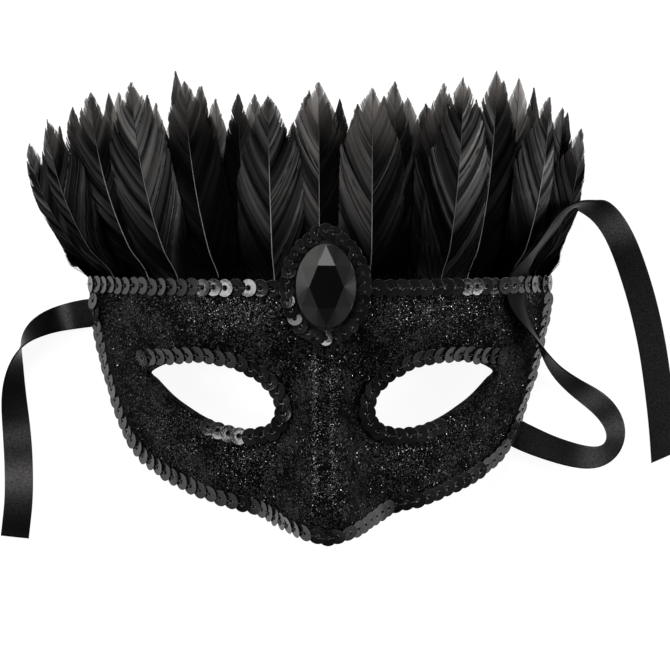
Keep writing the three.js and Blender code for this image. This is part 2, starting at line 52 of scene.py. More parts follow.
# Sizes shared with the solids
WALL = 2.0
TOP_Y = 2.0
HALF_WIDTH = 82.5
SIDE_LEAN = 0.07
SIDE_CURVE = 0.003
FOOT_END_Y = -42.0
CHEEK_LEAN, CHEEK_EASE = 0.08, 6.0
SHELL_ROUND = 1 / math.sin(math.radians(58.2))
RIBBON_GAP = {"y": -10.0, "reach": 10.0, "height": 2.2}
CROWN = {"settle": 17.0, "spread": 24.0, "round": 1.5, "lift": 6.0, "lean_back": 0.1, "level": 6.0,
         "level_by": 3.0, "blend": 3.0}
SEQUIN_RADIUS = 3.0
SEQUIN_PITCH = 4.0
STRAND_LIFT = 0.65
EDGE_INSET = 2.1
JEWEL = {"width": 20.0, "height": 28.0, "rise": 7.0, "foot": 0.83, "girdle_from": 2.1, "girdle_to": 2.6}
FACETS = {"star_size": 0.95, "star_rise": 3.2, "table_size": 0.57, "glue": 0.35}
EYE_STRAND = {"from": 0.09, "to": 0.75, "inset": 1.9, "lead": [(63.4, -25.4), (60.6, -24.4), (57.0, -23.9)]}
RING = {"half_width": 12.9, "half_height": 17.0, "y": 0.4, "point": 1.8, "point_width": 0.35}
BACKING_THICK = 1.2
FEATHER_THICK = 0.9
LAYER_STEP = 1.4
RIBBON_WIDTH = 10.0
CROSSING = {"x": 67.2, "half": 5.2, "ease": 3.4, "raise": 1.15}

# The mask is the same on both sides, so its middle is the middle of the shell's box.
SHELL_LOW, SHELL_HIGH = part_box("mask_shell")
SHIFT = np.array([(SHELL_LOW.x + SHELL_HIGH.x) / 2 / MM, SHELL_HIGH.y / MM - TOP_Y, 0.0])


def rowed(points):
    """Points in the mask's frame in millimetres, as metres in the row's frame."""
    return (np.asarray(points, float) + SHIFT) * MM


# Curves and surfaces

def smooth(t):
    t = np.clip(t, 0.0, 1.0)
    return t * t * (3 - 2 * t)


def step(value, start, over):
    """0 up to start, 1 from start + over on, and eased between. Tables keep the two as a pair."""
    return smooth((value - start) / over)


def mix(a, b, t):
    return a + (b - a) * t


def bell(d, width):
    return np.exp(-((d / width) ** 2))


def bump(t):
    return np.where(np.abs(t) < 1, (1 - t * t) ** 2, 0.0)


def side_x(y):
    return HALF_WIDTH - SIDE_LEAN * np.abs(y) - SIDE_CURVE * y * y


def foot_x(y):
    down = np.maximum(FOOT_END_Y - y, 0.0)
    lean_here = SIDE_LEAN - 2 * SIDE_CURVE * FOOT_END_Y
    eased = CHEEK_EASE * (1 - np.exp(-down / CHEEK_EASE))
    low = side_x(FOOT_END_Y) - CHEEK_LEAN * down - (lean_here - CHEEK_LEAN) * eased
    return np.where(y > FOOT_END_Y, side_x(y), low)


def arch_rise(t, roundness):
    return np.sqrt(roundness ** 2 - np.minimum(t, roundness * 0.98) ** 2) - np.sqrt(roundness ** 2 - 1)


MIDDLE_HEIGHT = HALF_WIDTH * float(arch_rise(0.0, SHELL_ROUND))


def arch(x, y):
    return foot_x(y) * arch_rise(np.abs(x) / foot_x(y), SHELL_ROUND)


def crown(x, y):
    """The sheet that the feathers follow: the arch up to the shell's top edge, and its flare above that."""
    up = np.maximum(y - TOP_Y, 0.0)
    spread = 1 - np.exp(-((up / CROWN["settle"]) ** 1.6))
    roundness = mix(SHELL_ROUND, CROWN["round"], spread)
    t = np.abs(x) / (HALF_WIDTH + CROWN["spread"] * spread)
    ends = CROWN["lift"] * spread
    rise = MIDDLE_HEIGHT - CROWN["lean_back"] * up - ends
    sheet = ends + rise * (arch_rise(t, roundness) / arch_rise(0.0, roundness))
    begun = 1 - np.exp(-up / CROWN["level_by"])
    over = sheet - CROWN["level"] * begun
    levelled = CROWN["level"] * begun + 0.5 * (over + np.hypot(over, CROWN["blend"] * begun))
    return np.where(y < TOP_Y, arch(x, y), levelled)


# The nose: each rise's height, and where down the mask it starts and over how far it comes.
NOSE_RISES = [(9.5, 16, 26), (12.5, 34, 42), (-4, 74, 12)]
# Half widths of the nose's ridge and base: at first, what they gain, where that starts and over how far.
NOSE_WIDTHS = [(2.2, 1.6, 66, 18), (11, 14, 30, 52)]
LUMPS = [  # brow, eye socket and cheek: height, then middle and reach from side to side, and the same along y
    (1.8, 32, 26, -13, 8), (-2.4, 36, 27, -37, 15), (3.0, 32, 17, -64, 10),
]
# Where they end: at the side as a share of the half width, and at the top.
LUMPS_END = {"side": (0.78, 0.18), "top": (-9.0, 8.0)}
RIBBON_GAP_FROM = 0.86  # share of the half width


def nose(x, y):
    tall = sum(rise * step(-y, *where) for rise, *where in NOSE_RISES)
    ridge, base = [first + more * step(-y, *where) for first, more, *where in NOSE_WIDTHS]
    return tall * 0.5 * (1 + np.cos(np.pi * np.clip((np.abs(x) - ridge) / (base - ridge), 0, 1)))


def features(x, y):
    a = np.abs(x)
    lumps = sum(rise * bell(a - out, wide) * bell(y - at, deep) for rise, out, wide, at, deep in LUMPS)
    return lumps * (1 - step(a / foot_x(y), *LUMPS_END["side"])) * (1 - step(y, *LUMPS_END["top"]))


def height(x, y):
    """The outside of the shell."""
    edge = step(np.abs(x) / foot_x(y), RIBBON_GAP_FROM, 1 - RIBBON_GAP_FROM)
    gap = RIBBON_GAP["height"] * bump((y - RIBBON_GAP["y"]) / RIBBON_GAP["reach"]) * edge
    return arch(x, y) + nose(x, y) + features(x, y) + gap


def unit(v):
    return v / np.maximum(np.linalg.norm(v, axis=-1, keepdims=True), 1e-9)


def normal_of(surface, x, y):
    off = 0.05
    dx = (surface(x + off, y) - surface(x - off, y)) / (2 * off)
    dy = (surface(x, y + off) - surface(x, y - off)) / (2 * off)
    return unit(np.stack([-dx, -dy, np.ones_like(dx)], -1))


def on(surface, x, y):
    return np.stack([x, y, surface(x, y)], -1)


def above(surface, x, y, lift):
    return on(surface, x, y) + normal_of(surface, x, y) * np.asarray(lift, float)[..., None]


def spline(points, t, closed=False):
    """Points of a Catmull-Rom curve at each t from 0 to 1."""
    pts = np.asarray(points, float)
    n = len(pts)
    spans = n if closed else n - 1
    at = np.clip(np.asarray(t, float), 0, 1) * spans
    i = np.minimum(at.astype(int), spans - 1)
    u = (at - i)[:, None]

    def pick(k):
        return pts[k % n] if closed else pts[np.clip(k, 0, n - 1)]

    a, b, c, d = pick(i - 1), pick(i), pick(i + 1), pick(i + 2)
    square, cube = 2 * a - 5 * b + 4 * c - d, 3 * b - a - 3 * c + d
    return 0.5 * (2 * b + (c - a) * u + square * u ** 2 + cube * u ** 3)


def lengths_along(points):
    return np.concatenate([[0.0], np.cumsum(np.linalg.norm(np.diff(points, axis=0), axis=1))])


def at_lengths(points, values, where):
    """Values given at points, read at lengths along them."""
    along = lengths_along(points)
    return np.stack([np.interp(where, along, values[:, k]) for k in range(values.shape[1])], -1)


def evenly(line, count):
    """Points spaced evenly by their place, with any columns after the third carried along."""
    place = line[:, :3]
    return at_lengths(place, line, np.linspace(0, lengths_along(place)[-1], count + 1))


EYE = [
    (60.4, -30.2), (52.5, -26.0), (42.0, -24.9), (31.0, -26.6), (22.0, -31.0), (16.4, -38.2),
    (17.0, -45.6), (24.5, -48.9), (36.5, -47.2), (50.0, -40.3), (58.0, -33.2),
]
EYE_CENTRE = np.array([36.0, -38.5])
LOWER_RIM = [
    (float(side_x(FOOT_END_Y)), FOOT_END_Y), (68.4, -56), (58.2, -65.2), (38.5, -73), (22, -77), (11.5, -81),
    (0, -83.6),
]
SIDE_SHARE = 0.36


def rim(t):
    """The right half's rim, from the temple corner down to the bottom of the nose."""
    y = mix(TOP_Y, FOOT_END_Y, t / SIDE_SHARE)
    side = np.stack([side_x(y), y], -1)
    low = spline(LOWER_RIM, (t - SIDE_SHARE) / (1 - SIDE_SHARE))
    return np.where((t < SIDE_SHARE)[:, None], side, low)


def eye_loop(count):
    return spline(EYE, np.linspace(0, 1, count, endpoint=False), closed=True)


def eye_reach(aim, count):
    """How far the right eye hole reaches from its centre in the directions of aim."""
    loop = eye_loop(count) - EYE_CENTRE
    angle = np.arctan2(loop[:, 1], loop[:, 0])
    order = np.argsort(angle)
    toward = np.arctan2(aim[:, 1], aim[:, 0])
    return np.interp(toward, angle[order], np.linalg.norm(loop, axis=1)[order], period=2 * math.pi)


# Meshes

def linked(name, data):
    obj = bpy.data.objects.new(name, data)
    bpy.context.scene.collection.objects.link(obj)
    return obj


def mesh_object(name, points, faces, smooth_shaded=True, attributes=None):
    """A mesh from points in the mask's frame, with one number for each point in each attribute."""
    mesh = bpy.data.meshes.new(name)
    mesh.from_pydata(rowed(points).tolist(), [], [f for group in faces for f in np.asarray(group).tolist()],
                     shade_flat=not smooth_shaded)
    for key, values in (attributes or {}).items():
        layer = mesh.attributes.new(key, "FLOAT", "POINT")
        layer.data.foreach_set("value", np.asarray(values, np.float32).ravel())
    mesh.update()
    mesh.validate()
    return linked(name, mesh)


def dress(obj, slot, *paints, replaced=None):
    """Give a piece its paints, attach it to the root body, and hide the solid it replaces."""
    for paint in paints:
        obj.data.materials.append(paint)
    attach(obj, "root")
    if replaced:
        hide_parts(replaced)


def grid_faces(rows, columns, wrap_rows=False, wrap_columns=False, start=0):
    """Quads of a grid of points stored row by row."""
    r = np.arange(rows if wrap_rows else rows - 1)
    c = np.arange(columns if wrap_columns else columns - 1)
    r, c = [v.ravel() for v in np.meshgrid(r, c, indexing="ij")]
    r2, c2 = (r + 1) % rows, (c + 1) % columns
    return start + np.stack([r * columns + c, r * columns + c2, r2 * columns + c2, r2 * columns + c], -1)


def repeated(faces, count, size):
    """Faces of one small mesh, repeated for count copies with size points each."""
    starts = (np.arange(count) * size)[:, None, None]
    return (np.asarray(faces)[None] + starts).reshape(-1, np.shape(faces)[1])


def neighbours(line, closed=False):
    """The points before and after each point of a line, carried straight on at its ends."""
    if closed:
        return np.roll(line, 1, 0), np.roll(line, -1, 0)
    return (np.concatenate([2 * line[:1] - line[1:2], line[:-1]]),
            np.concatenate([line[1:], 2 * line[-1:] - line[-2:-1]]))


def tube(path, radius, sides=8, closed=False, squash=1.0):
    """Points and quads of a tube round a path. radius may change along it."""
    path = np.asarray(path, float)
    n = len(path)
    behind, ahead = neighbours(path, closed)
    along = unit(ahead - behind)
    side = unit(np.cross(along, np.array([0.0, 0.0, 1.0]) + 1e-4))
    up = np.cross(side, along)
    a = np.linspace(0, 2 * math.pi, sides, endpoint=False)
    r = np.broadcast_to(np.asarray(radius, float), (n,))[:, None, None]
    ring = side[:, None] * np.cos(a)[None, :, None] + up[:, None] * (squash * np.sin(a))[None, :, None]
    points = (path[:, None] + ring * r).reshape(-1, 3)
    return points, grid_faces(n, sides, wrap_rows=closed, wrap_columns=True)


def joined(parts):
    """Several (points, quads) as one."""
    points, faces, start = [], [], 0
    for p, f in parts:
        points.append(p)
        faces.append(np.asarray(f) + start)
        start += len(p)
    return np.vstack(points), np.vstack(faces)


# Camera, light and table

PIXEL = 0.3575  # millimetres on the table for each pixel of the photograph
PICTURE = 670
CAMERA_AT = (-23.0, 26.0, 700.0)
LOOKS_AT = (5.0, -18.6, 0.0)
SENSOR = 36.0
SOFTBOXES = [  # name, place and size in metres, and watts. Each faces the origin.
    ("back_softbox", (-0.2, 0.9, 0.7), (1.1, 0.5), 8),
    ("left_softbox", (-0.65, 0.05, 0.62), (0.15, 0.5), 2.8),
    ("right_softbox", (0.8, 0.1, 0.38), (0.15, 0.5), 3.8),
]
# How strong the light from all round is: from one direction to another on an axis, and its strength there.
WALLS_BY_HEIGHT = (0.0, 0.6, 0.7, 0.01)
WALLS_BY_SIDE = (-0.9, 0.6, 1.15, 0.85)
TABLE_REACH = 4.0  # metres


def make_camera():
    data = bpy.data.cameras.new("camera")
    cam = linked("camera", data)
    eye, target = Vector(rowed(CAMERA_AT)), Vector(rowed(LOOKS_AT))
    cam.location = eye
    back = (eye - target).normalized()
    right = Vector((0, 1, 0)).cross(back).normalized()
    cam.rotation_euler = Matrix((right, back.cross(right), back)).transposed().to_euler()
    data.sensor_width = SENSOR
    data.lens = SENSOR * (target - eye).length / (PICTURE * PIXEL * MM)
    data.clip_start, data.clip_end = 0.01, 20.0
    bpy.context.scene.camera = cam


def make_softboxes():
    for name, at, size, watts in SOFTBOXES:
        data = bpy.data.lights.new(name, "AREA")
        data.shape = "RECTANGLE"
        data.size, data.size_y = size
        data.energy = watts
        light = linked(name, data)
        light.location = at
        light.rotation_euler = (-Vector(at)).to_track_quat("-Z", "Y").to_euler()


def make_walls():
    """Pale walls all round, brighter on the left, under a dark ceiling."""
    world = bpy.data.worlds.new("studio")
    bpy.context.scene.world = world
    world.use_nodes = True
    nodes = Nodes(world.node_tree)
    way = nodes.node("SeparateXYZ", {0: nodes.node("TexCoord").outputs["Generated"]}).outputs
    by_height = nodes.ranged(way["Z"], *WALLS_BY_HEIGHT, interpolation_type="SMOOTHSTEP")
    by_side = nodes.ranged(way["X"], *WALLS_BY_SIDE, interpolation_type="SMOOTHSTEP")
    nodes.fill(world.node_tree.nodes["Background"],
               {"Color": (0.97, 0.98, 1.0, 1), "Strength": nodes.maths("MULTIPLY", by_height, by_side)})


def make_table():
    r = TABLE_REACH
    mesh = bpy.data.meshes.new("table")
    mesh.from_pydata([(-r, -r, 0), (r, -r, 0), (r, r, 0), (-r, r, 0)], [], [(0, 1, 2, 3)])
    table = linked("table", mesh)
    paint = Paint("table_top")
    paint.shade({"Base Color": grey(0.2), "Roughness": 0.8, "Emission Color": grey(1),
                 "Emission Strength": 0.93})
    paint.bump(paint.noise(scale=900, detail=2), strength=0.05, distance=0.0002)
    mesh.materials.append(paint.material)


def make_studio():
    make_softboxes()
    make_walls()
    make_table()
    view = bpy.context.scene.view_settings
    view.view_transform = "Standard"
    view.look = "None"


# Materials

def grey(level):
    return level, level, level, 1


class Nodes:
    """A node tree with a few short helpers."""

    def __init__(self, tree):
        self.tree = tree

    def fill(self, node, inputs):
        """Set a node's sockets to values, or link them to the outputs that feed them."""
        for key, value in inputs.items():
            if isinstance(value, bpy.types.NodeSocket):
                self.tree.links.new(value, node.inputs[key])
            else:
                node.inputs[key].default_value = value
        return node

    def node(self, kind, inputs=None, **settings):
        made = self.tree.nodes.new("ShaderNode" + kind)
        for key, value in settings.items():
            setattr(made, key, value)
        return self.fill(made, inputs or {})

    def ranged(self, value, low, high, to_low=0.0, to_high=1.0, **settings):
        inputs = {"Value": value, "From Min": low, "From Max": high, "To Min": to_low, "To Max": to_high}
        return self.node("MapRange", inputs, **settings).outputs["Result"]

    def maths(self, kind, a, b):
        return self.node("Math", {0: a, 1: b}, operation=kind).outputs[0]

    def vectors(self, kind, *inputs):
        return self.node("VectorMath", dict(enumerate(inputs)), operation=kind).outputs[0]


class Paint(Nodes):
    """A node material. Coordinates are the object's own, in metres."""

    def __init__(self, name):
        self.material = bpy.data.materials.new(name)
        self.material.use_nodes = True
        super().__init__(self.material.node_tree)
        self.shader = self.tree.nodes["Principled BSDF"]
        self.place = self.node("TexCoord").outputs["Object"]

    def shade(self, inputs):
        self.fill(self.shader, inputs)

    def attribute(self, name):
        return self.node("Attribute", attribute_name=name).outputs["Fac"]

    def noise(self, scale, detail=3.0, rough=0.5, at=None):
        inputs = {"Scale": scale, "Detail": detail, "Roughness": rough, "Vector": at or self.place}
        return self.node("TexNoise", inputs).outputs["Fac"]

    def blended(self, factor, a, b):
        """Colour a where factor is 0, b where it is 1."""
        return self.node("Mix", {0: factor, 6: a, 7: b}, data_type="RGBA").outputs[2]

    def bump(self, value, strength, distance, onto=None):
        inputs = {"Strength": strength, "Distance": distance, "Height": value}
        if onto is not None:
            inputs["Normal"] = onto
        normal = self.node("Bump", inputs).outputs["Normal"]
        self.shade({"Normal": normal})
        return normal


def glitter_fabric():
    """Napped cloth full of crushed glitter: rough black pile, and small flakes that face all ways."""
    p = Paint("glitter_fabric")
    flake = p.node("TexVoronoi", {"Scale": 2300, "Vector": p.place}).outputs["Color"]
    chance = p.node("SeparateColor", {"Color": flake}).outputs["Blue"]
    limit = p.ranged(p.noise(scale=90, detail=5, rough=0.75), 0.4, 0.62, 0.97, 0.45)
    shows = p.maths("GREATER_THAN", chance, limit)
    p.shade({"Base Color": p.blended(shows, (0.0008, 0.0008, 0.0009, 1), (0.03, 0.03, 0.031, 1)),
             "Roughness": p.ranged(shows, 0, 1, 0.6, 0.3), "Specular IOR Level": 0.045})
    crinkled = p.bump(p.noise(scale=260, detail=4, rough=0.6), strength=0.8, distance=0.0012)
    pile = p.bump(p.noise(scale=2600, detail=5, rough=0.7), strength=0.9, distance=0.00035, onto=crinkled)
    turned = p.vectors("MULTIPLY_ADD", flake, (1.3, 1.3, 1.3), (-0.65, -0.65, -0.65))
    p.shade({"Normal": p.vectors("NORMALIZE", p.vectors("ADD", turned, pile))})
    return p.material


def glitter_flake():
    p = Paint("glitter_flake")
    p.shade({"Base Color": p.blended(p.attribute("flake"), (0.03, 0.03, 0.032, 1), (0.32, 0.32, 0.33, 1)),
             "Metallic": 1.0, "Roughness": p.ranged(p.noise(scale=3000), 0.3, 0.7, 0.25, 0.4)})
    return p.material


def sequin_film():
    """Glossy black film, with fine pressing lines and a little difference in tone from disc to disc."""
    p = Paint("sequin_film")
    p.shade({"Base Color": p.blended(p.attribute("disc"), grey(0.006), (0.016, 0.0155, 0.015, 1)),
             "Roughness": p.ranged(p.noise(scale=700), 0.3, 0.7, 0.1, 0.2), "IOR": 1.5})
    p.bump(p.noise(scale=1500, detail=1), strength=0.12, distance=0.0002)
    return p.material


def felt():
    p = Paint("felt")
    fibres = p.noise(scale=1800, detail=5)
    p.shade({"Base Color": p.blended(fibres, grey(0.004), (0.014, 0.014, 0.015, 1)),
             "Roughness": 0.95, "Sheen Weight": 0.15})
    p.bump(p.noise(scale=2400, detail=6, rough=0.8), strength=0.8, distance=0.0003)
    return p.material


# The way that the facets painted paler face.
PAINTED_FACET_LIGHT_WAY = (-0.64, 0.77, 0.0)


def jewel_acrylic():
    """Black acrylic, with the facets that face left and up the mask painted paler: a painted reflection."""
    p = Paint("jewel_acrylic")
    normal = p.node("NewGeometry").outputs["Normal"]
    facing = p.node("VectorMath", {0: normal, 1: PAINTED_FACET_LIGHT_WAY}, operation="DOT_PRODUCT").outputs["Value"]
    body = p.blended(p.noise(scale=60, detail=2), grey(0.002), (0.006, 0.006, 0.007, 1))
    # Facets facing that way get a paler colour: painted reflection.
    p.shade({"Base Color": p.blended(p.ranged(facing, 0.3, 0.55), body, (0.06, 0.059, 0.057, 1)),
             "Roughness": p.ranged(p.noise(scale=300, detail=4), 0.4, 0.7, 0.03, 0.07), "IOR": 1.4})
    return p.material


def feather_barbs():
    """Near black barbs with painted sheen bands, and at the tip brown, painted paler for light through it,
    and partly clear.
    """
    p = Paint("feather_barbs")
    painted_tone, tip = p.attribute("painted_tone"), p.attribute("tip")
    # The painted sheen: the tone paints paler silky bands into the colour, and also raises the gloss below.
    silky = p.blended(painted_tone, (0.0007, 0.0007, 0.0009, 1), (0.1, 0.095, 0.092, 1))
    # Towards the tip the colour turns brown and paler: the barbs' own brown, and painted light through them.
    paler = p.maths("POWER", p.maths("MULTIPLY", tip, 0.9), 1.5)
    p.shade({"Base Color": p.blended(paler, silky, (0.32, 0.29, 0.27, 1)),
             "Roughness": p.ranged(p.noise(scale=260), 0.3, 0.7, 0.34, 0.5),
             "Specular IOR Level": p.ranged(painted_tone, 0, 1, 0.01, 0.8), "IOR": 1.35})
    p.bump(p.noise(scale=3500, detail=2), strength=0.2, distance=0.0001)
    clear = p.node("BsdfTransparent").outputs[0]
    both = p.node("MixShader", {0: p.maths("MULTIPLY", tip, 0.36), 1: p.shader.outputs[0], 2: clear})
    p.fill(p.tree.nodes["Material Output"], {"Surface": both.outputs[0]})
    return p.material


def feather_shaft():
    p = Paint("feather_shaft")
    worn = p.blended(p.noise(scale=400), grey(0.006), grey(0.012))
    # The tone paints a highlight into the shaft's colour, paler along its lower part.
    p.shade({"Base Color": p.blended(p.attribute("painted_tone"), worn, (0.3, 0.29, 0.28, 1)),
             "Roughness": 0.3, "Specular IOR Level": 0.4})
    return p.material


def satin():
    """Satin weave: fine threads along the ribbon, ribs across it, and grainy painted highlights and shade."""
    p = Paint("satin")
    place = p.node("CombineXYZ", {0: p.attribute("along"), 1: p.attribute("across")}).outputs[0]
    drawn_out = p.node("Mapping", {"Vector": place, "Scale": (0.5, 9.0, 1.0)}).outputs["Vector"]
    threads = p.noise(scale=1.0, detail=4, at=drawn_out)
    ribs = p.node("TexWave", {"Scale": 1.4, "Distortion": 0.4, "Vector": place}, wave_type="BANDS",
                  bands_direction="X").outputs["Fac"]
    woven = p.blended(threads, (0.001, 0.001, 0.0011, 1), (0.0028, 0.0027, 0.0027, 1))
    grain = p.ranged(p.noise(scale=1500, detail=4, rough=0.7), 0.35, 0.65, 0.45, 1.45)
    # The painted sheen, made grainy, makes the satin's colour paler: painted highlights.
    painted_satin_sheen = p.maths("MULTIPLY", p.attribute("painted_satin_sheen"), grain)
    p.shade({"Base Color": p.blended(painted_satin_sheen, woven, (0.2, 0.193, 0.19, 1)),
             "Roughness": p.ranged(threads, 0.3, 0.7, 0.2, 0.32),
             "IOR": 1.16, "Specular IOR Level": 0.12, "Anisotropic": 0.5})
    ribbed = p.bump(ribs, strength=0.25, distance=0.00006)
    p.bump(threads, strength=0.3, distance=0.00006, onto=ribbed)
    return p.material


def thread_paint():
    p = Paint("sewing_thread")
    p.shade({"Base Color": p.blended(p.noise(scale=3000), grey(0.01), grey(0.05)),
             "Roughness": 0.35})
    return p.material


# Ribbon ties

LEFT_RIBBON = [
    (-66, -11, 14.3, -7), (-69, -10.9, 11, -7), (-72, -10.7, 7.4, -6), (-74.8, -10.4, 3.8, -4),
    (-77, -10.1, 1, -1), (-79.8, -10.1, 0.5, 0), (-82.8, -10.4, 0.7, 4), (-86.6, -11.1, 1.8, 17),
    (-91.1, -11.9, 2.75, 28), (-95.3, -12.9, 3.3, 35), (-99.1, -14.6, 3.8, 43), (-102.1, -16.5, 4.4, 53),
    (-104.5, -18.9, 5, 66), (-106.6, -22.4, 5.4, 87), (-107.5, -25.8, 5.3, 102), (-108.4, -30.4, 4.8, 118),
    (-108.9, -35.4, 4.2, 131), (-109, -41.2, 3.35, 144), (-108.5, -48.4, 2.6, 154), (-107.9, -59.2, 1.5, 167),
    (-107.8, -70.1, 0.6, 178), (-108.1, -79.1, 0.45, 180), (-108.9, -85.2, 0.45, 180),
    (-109.5, -90.6, 0.45, 180),
]
RIGHT_RIBBON = [
    (66.5, -13.5, 13.2, 130), (66.9, -19.5, 11.8, 130), (67, -25.5, 10, 131), (66.6, -32.5, 7.2, 136),
    (65.2, -39.5, 3.8, 148), (63.4, -46, 1.6, 168), (65.6, -51.4, 0.6, 178), (71.4, -54.8, 1, 173),
    (78.5, -57.9, 2.6, 154), (85.7, -60.5, 3.1, 147), (92.9, -62.4, 3.6, 141), (97.8, -63, 4.1, 133),
    (101.3, -62.4, 4.7, 121), (103.7, -60.5, 5.2, 110), (105.5, -57.8, 5.1, 110), (106.1, -54.1, 4.7, 120),
    (104.9, -49.8, 4.2, 130), (102.1, -45.5, 3.8, 138), (98.1, -41.9, 3.65, 140), (93.3, -38.8, 4.2, 131),
    (88.3, -35.3, 5, 122), (84.3, -31.4, 6.2, 114), (81.1, -27.4, 9, 102), (77.7, -22.2, 12.2, 90),
    (74.1, -16.6, 15.4, 77), (70.8, -11.4, 17.9, 62), (68.2, -7.4, 19.4, 51), (66.6, -3.9, 20.1, 45),
    (66.5, -0.6, 20.1, 44), (67.2, 2.6, 19.8, 45), (69, 6, 21, 58), (71.4, 9.3, 22.7, 71),
    (75.4, 14.3, 23.3, 72), (79.3, 19.8, 23.2, 67), (82, 23.7, 23, 64), (84.4, 26.2, 22.7, 68),
    (87, 27.7, 21.9, 78), (89.8, 28.1, 20, 89), (93, 27.9, 16, 62), (97.7, 26.3, 11, 37),
    (103.1, 21.4, 6.5, 30), (108.1, 13.2, 3.2, 22), (112.5, 2, 1.6, 13), (116, -9.1, 0.7, 5),
    (119.1, -22.5, 0.45, 0), (121.4, -36.9, 0.45, 0), (123.2, -51.4, 0.45, 0), (124.3, -64.8, 0.45, 0),
]
RIBBON = {"half_thick": 0.16, "ease": 5.0, "samples": 2400, "step": 0.9, "look": 0.6, "bow": 0.22,
          "edge_from": 0.9, "edge_thicker": 0.5, "above_table": 0.05, "path_step": 1.5}
RIBBON_COLUMNS = np.linspace(-1, 1, 15)
# Painted sheen on the satin: the least everywhere, and how much more where it faces up, as if lit from above.
PAINTED_SATIN_SHEEN = {"least": 0.012, "flat": 0.07}
# Painted highlights, and painted shade where the amount is below 0, on the satin at listed places.
PAINTED_SATIN_SPOTS = [  # places where the satin shines more or less: x, y, how far round, and by how much
    (103.5, 19.5, 6.0, 0.5), (97.5, -41.0, 5.0, 0.5), (104.5, -51.5, 4.5, 0.4), (97.5, -61.0, 5.0, 0.3),
    (-108.3, -68.6, 6.5, 0.5), (-108.6, -54.0, 4.5, 0.25), (-109.2, -87.0, 6.0, -0.05),
    (-90.3, -11.5, 1.8, 0.3), (-98.0, -10.5, 6.0, -0.09), (83.0, 22.0, 9.0, -0.03),
]


def eased(line, reach):
    """A line of evenly spaced points with its bends eased over a reach in millimetres, and its ends kept."""
    count = RIBBON["samples"]
    even = evenly(line, count)
    span = int(count * reach / lengths_along(line[:, :3])[-1]) * 2
    weights = np.hanning(2 * span + 3)[1:-1]
    weights /= weights.sum()
    before = 2 * even[:1] - even[1:span + 1][::-1]
    after = 2 * even[-1:] - even[-span - 1:-1][::-1]
    padded = np.vstack([before, even, after])
    return np.stack([np.convolve(column, weights, "valid") for column in padded.T], -1)


def ribbon_frames(line, total, slant):
    """Places on a ribbon, along it by across it, with the directions across it and out of its face."""
    place, look = line[:, :3], RIBBON["look"]
    at, along = [], []
    for q in RIBBON_COLUMNS:
        where = np.linspace(0, total - slant * (1 + q) * RIBBON_WIDTH / 2, int(total / RIBBON["step"]) + 1)
        at.append(at_lengths(place, line, where))
        along.append(unit(at_lengths(place, place, where + look) - at_lengths(place, place, where - look)))
    at, along = np.stack(at, 1), np.stack(along, 1)
    flat = unit(np.stack([-along[..., 1], along[..., 0], np.zeros(along.shape[:2])], -1))
    across = flat * np.cos(at[..., 3:]) + np.cross(along, flat) * np.sin(at[..., 3:])
    return at[..., :3], across, np.cross(along, across)


def painted_satin_sheen_at(at, face):
    """Painted sheen: a little everywhere, more where the satin faces up, and painted highlights and shade at
    listed places.
    """
    painted_satin_sheen = PAINTED_SATIN_SHEEN["least"] + PAINTED_SATIN_SHEEN["flat"] * face[..., 2] ** 4
    for x, y, reach, painted_shine in PAINTED_SATIN_SPOTS:
        painted_satin_sheen = painted_satin_sheen + painted_shine * bell(np.hypot(at[..., 0] - x, at[..., 1] - y), reach)
    return np.clip(painted_satin_sheen, 0, 1)


def make_ribbon(name, route, paint, slant=0.0):
    """A satin ribbon along a route of x, y, z and tilt in degrees. slant cuts its far end at an angle."""
    fine = eased(spline(route, np.linspace(0, 1, RIBBON["samples"])), RIBBON["ease"])
    fine[:, 3] = np.radians(fine[:, 3])
    total = float(lengths_along(fine[:, :3])[-1])
    at, across, face = ribbon_frames(fine, total, slant)
    # The ribbon arches a little across, and its woven edges are thicker.
    columns = RIBBON_COLUMNS
    bow = RIBBON["bow"] * (1 - columns ** 2)[None, :, None] * np.sign(face[..., 2:3] + 1e-6)
    edge = np.abs(columns) > RIBBON["edge_from"]
    thick = RIBBON["half_thick"] * (1 + RIBBON["edge_thicker"] * edge)[None, :, None]
    middle = at + across * (columns * RIBBON_WIDTH / 2)[None, :, None] + face * bow
    sheet = np.concatenate([middle + face * thick, (middle - face * thick)[:, ::-1]], 1)
    sheet[..., 2] = np.maximum(sheet[..., 2], RIBBON["above_table"])
    n, m = sheet.shape[:2]
    j = np.arange(len(columns) - 1)
    cap = np.stack([j, j + 1, m - 2 - j, m - 1 - j], -1)
    spread = np.concatenate([columns, columns[::-1]]) * RIBBON_WIDTH / 2
    # The painted sheen reaches the satin's colour as an attribute.
    painted_satin_sheen = painted_satin_sheen_at(at, face)
    attributes = {"along": np.repeat(np.linspace(0, total, n), m), "across": np.tile(spread, n),
                  "painted_satin_sheen": np.concatenate([painted_satin_sheen, painted_satin_sheen[:, ::-1]], 1)}
    faces = [grid_faces(n, m, wrap_columns=True), cap[:, ::-1], cap + (n - 1) * m]
    obj = mesh_object(name, sheet.reshape(-1, 3), faces, attributes=attributes)
    dress(obj, "satin", paint, replaced=name[:-len("_satin")])


# The shell

SHELL_CELLS = {"rim": 170, "top": 60, "middle": 70, "levels": 46}
EYE_EDGE, RIM_EDGE = 0.45, 0.4  # how far the rounded edges stand proud of a straight cut
LEVEL_CUT = (0.4, 5.0)  # the height up to which the rim is cut level, and the height over which that ends
PIPING = {"out": 0.35, "lift": 0.25, "radius": 0.55}


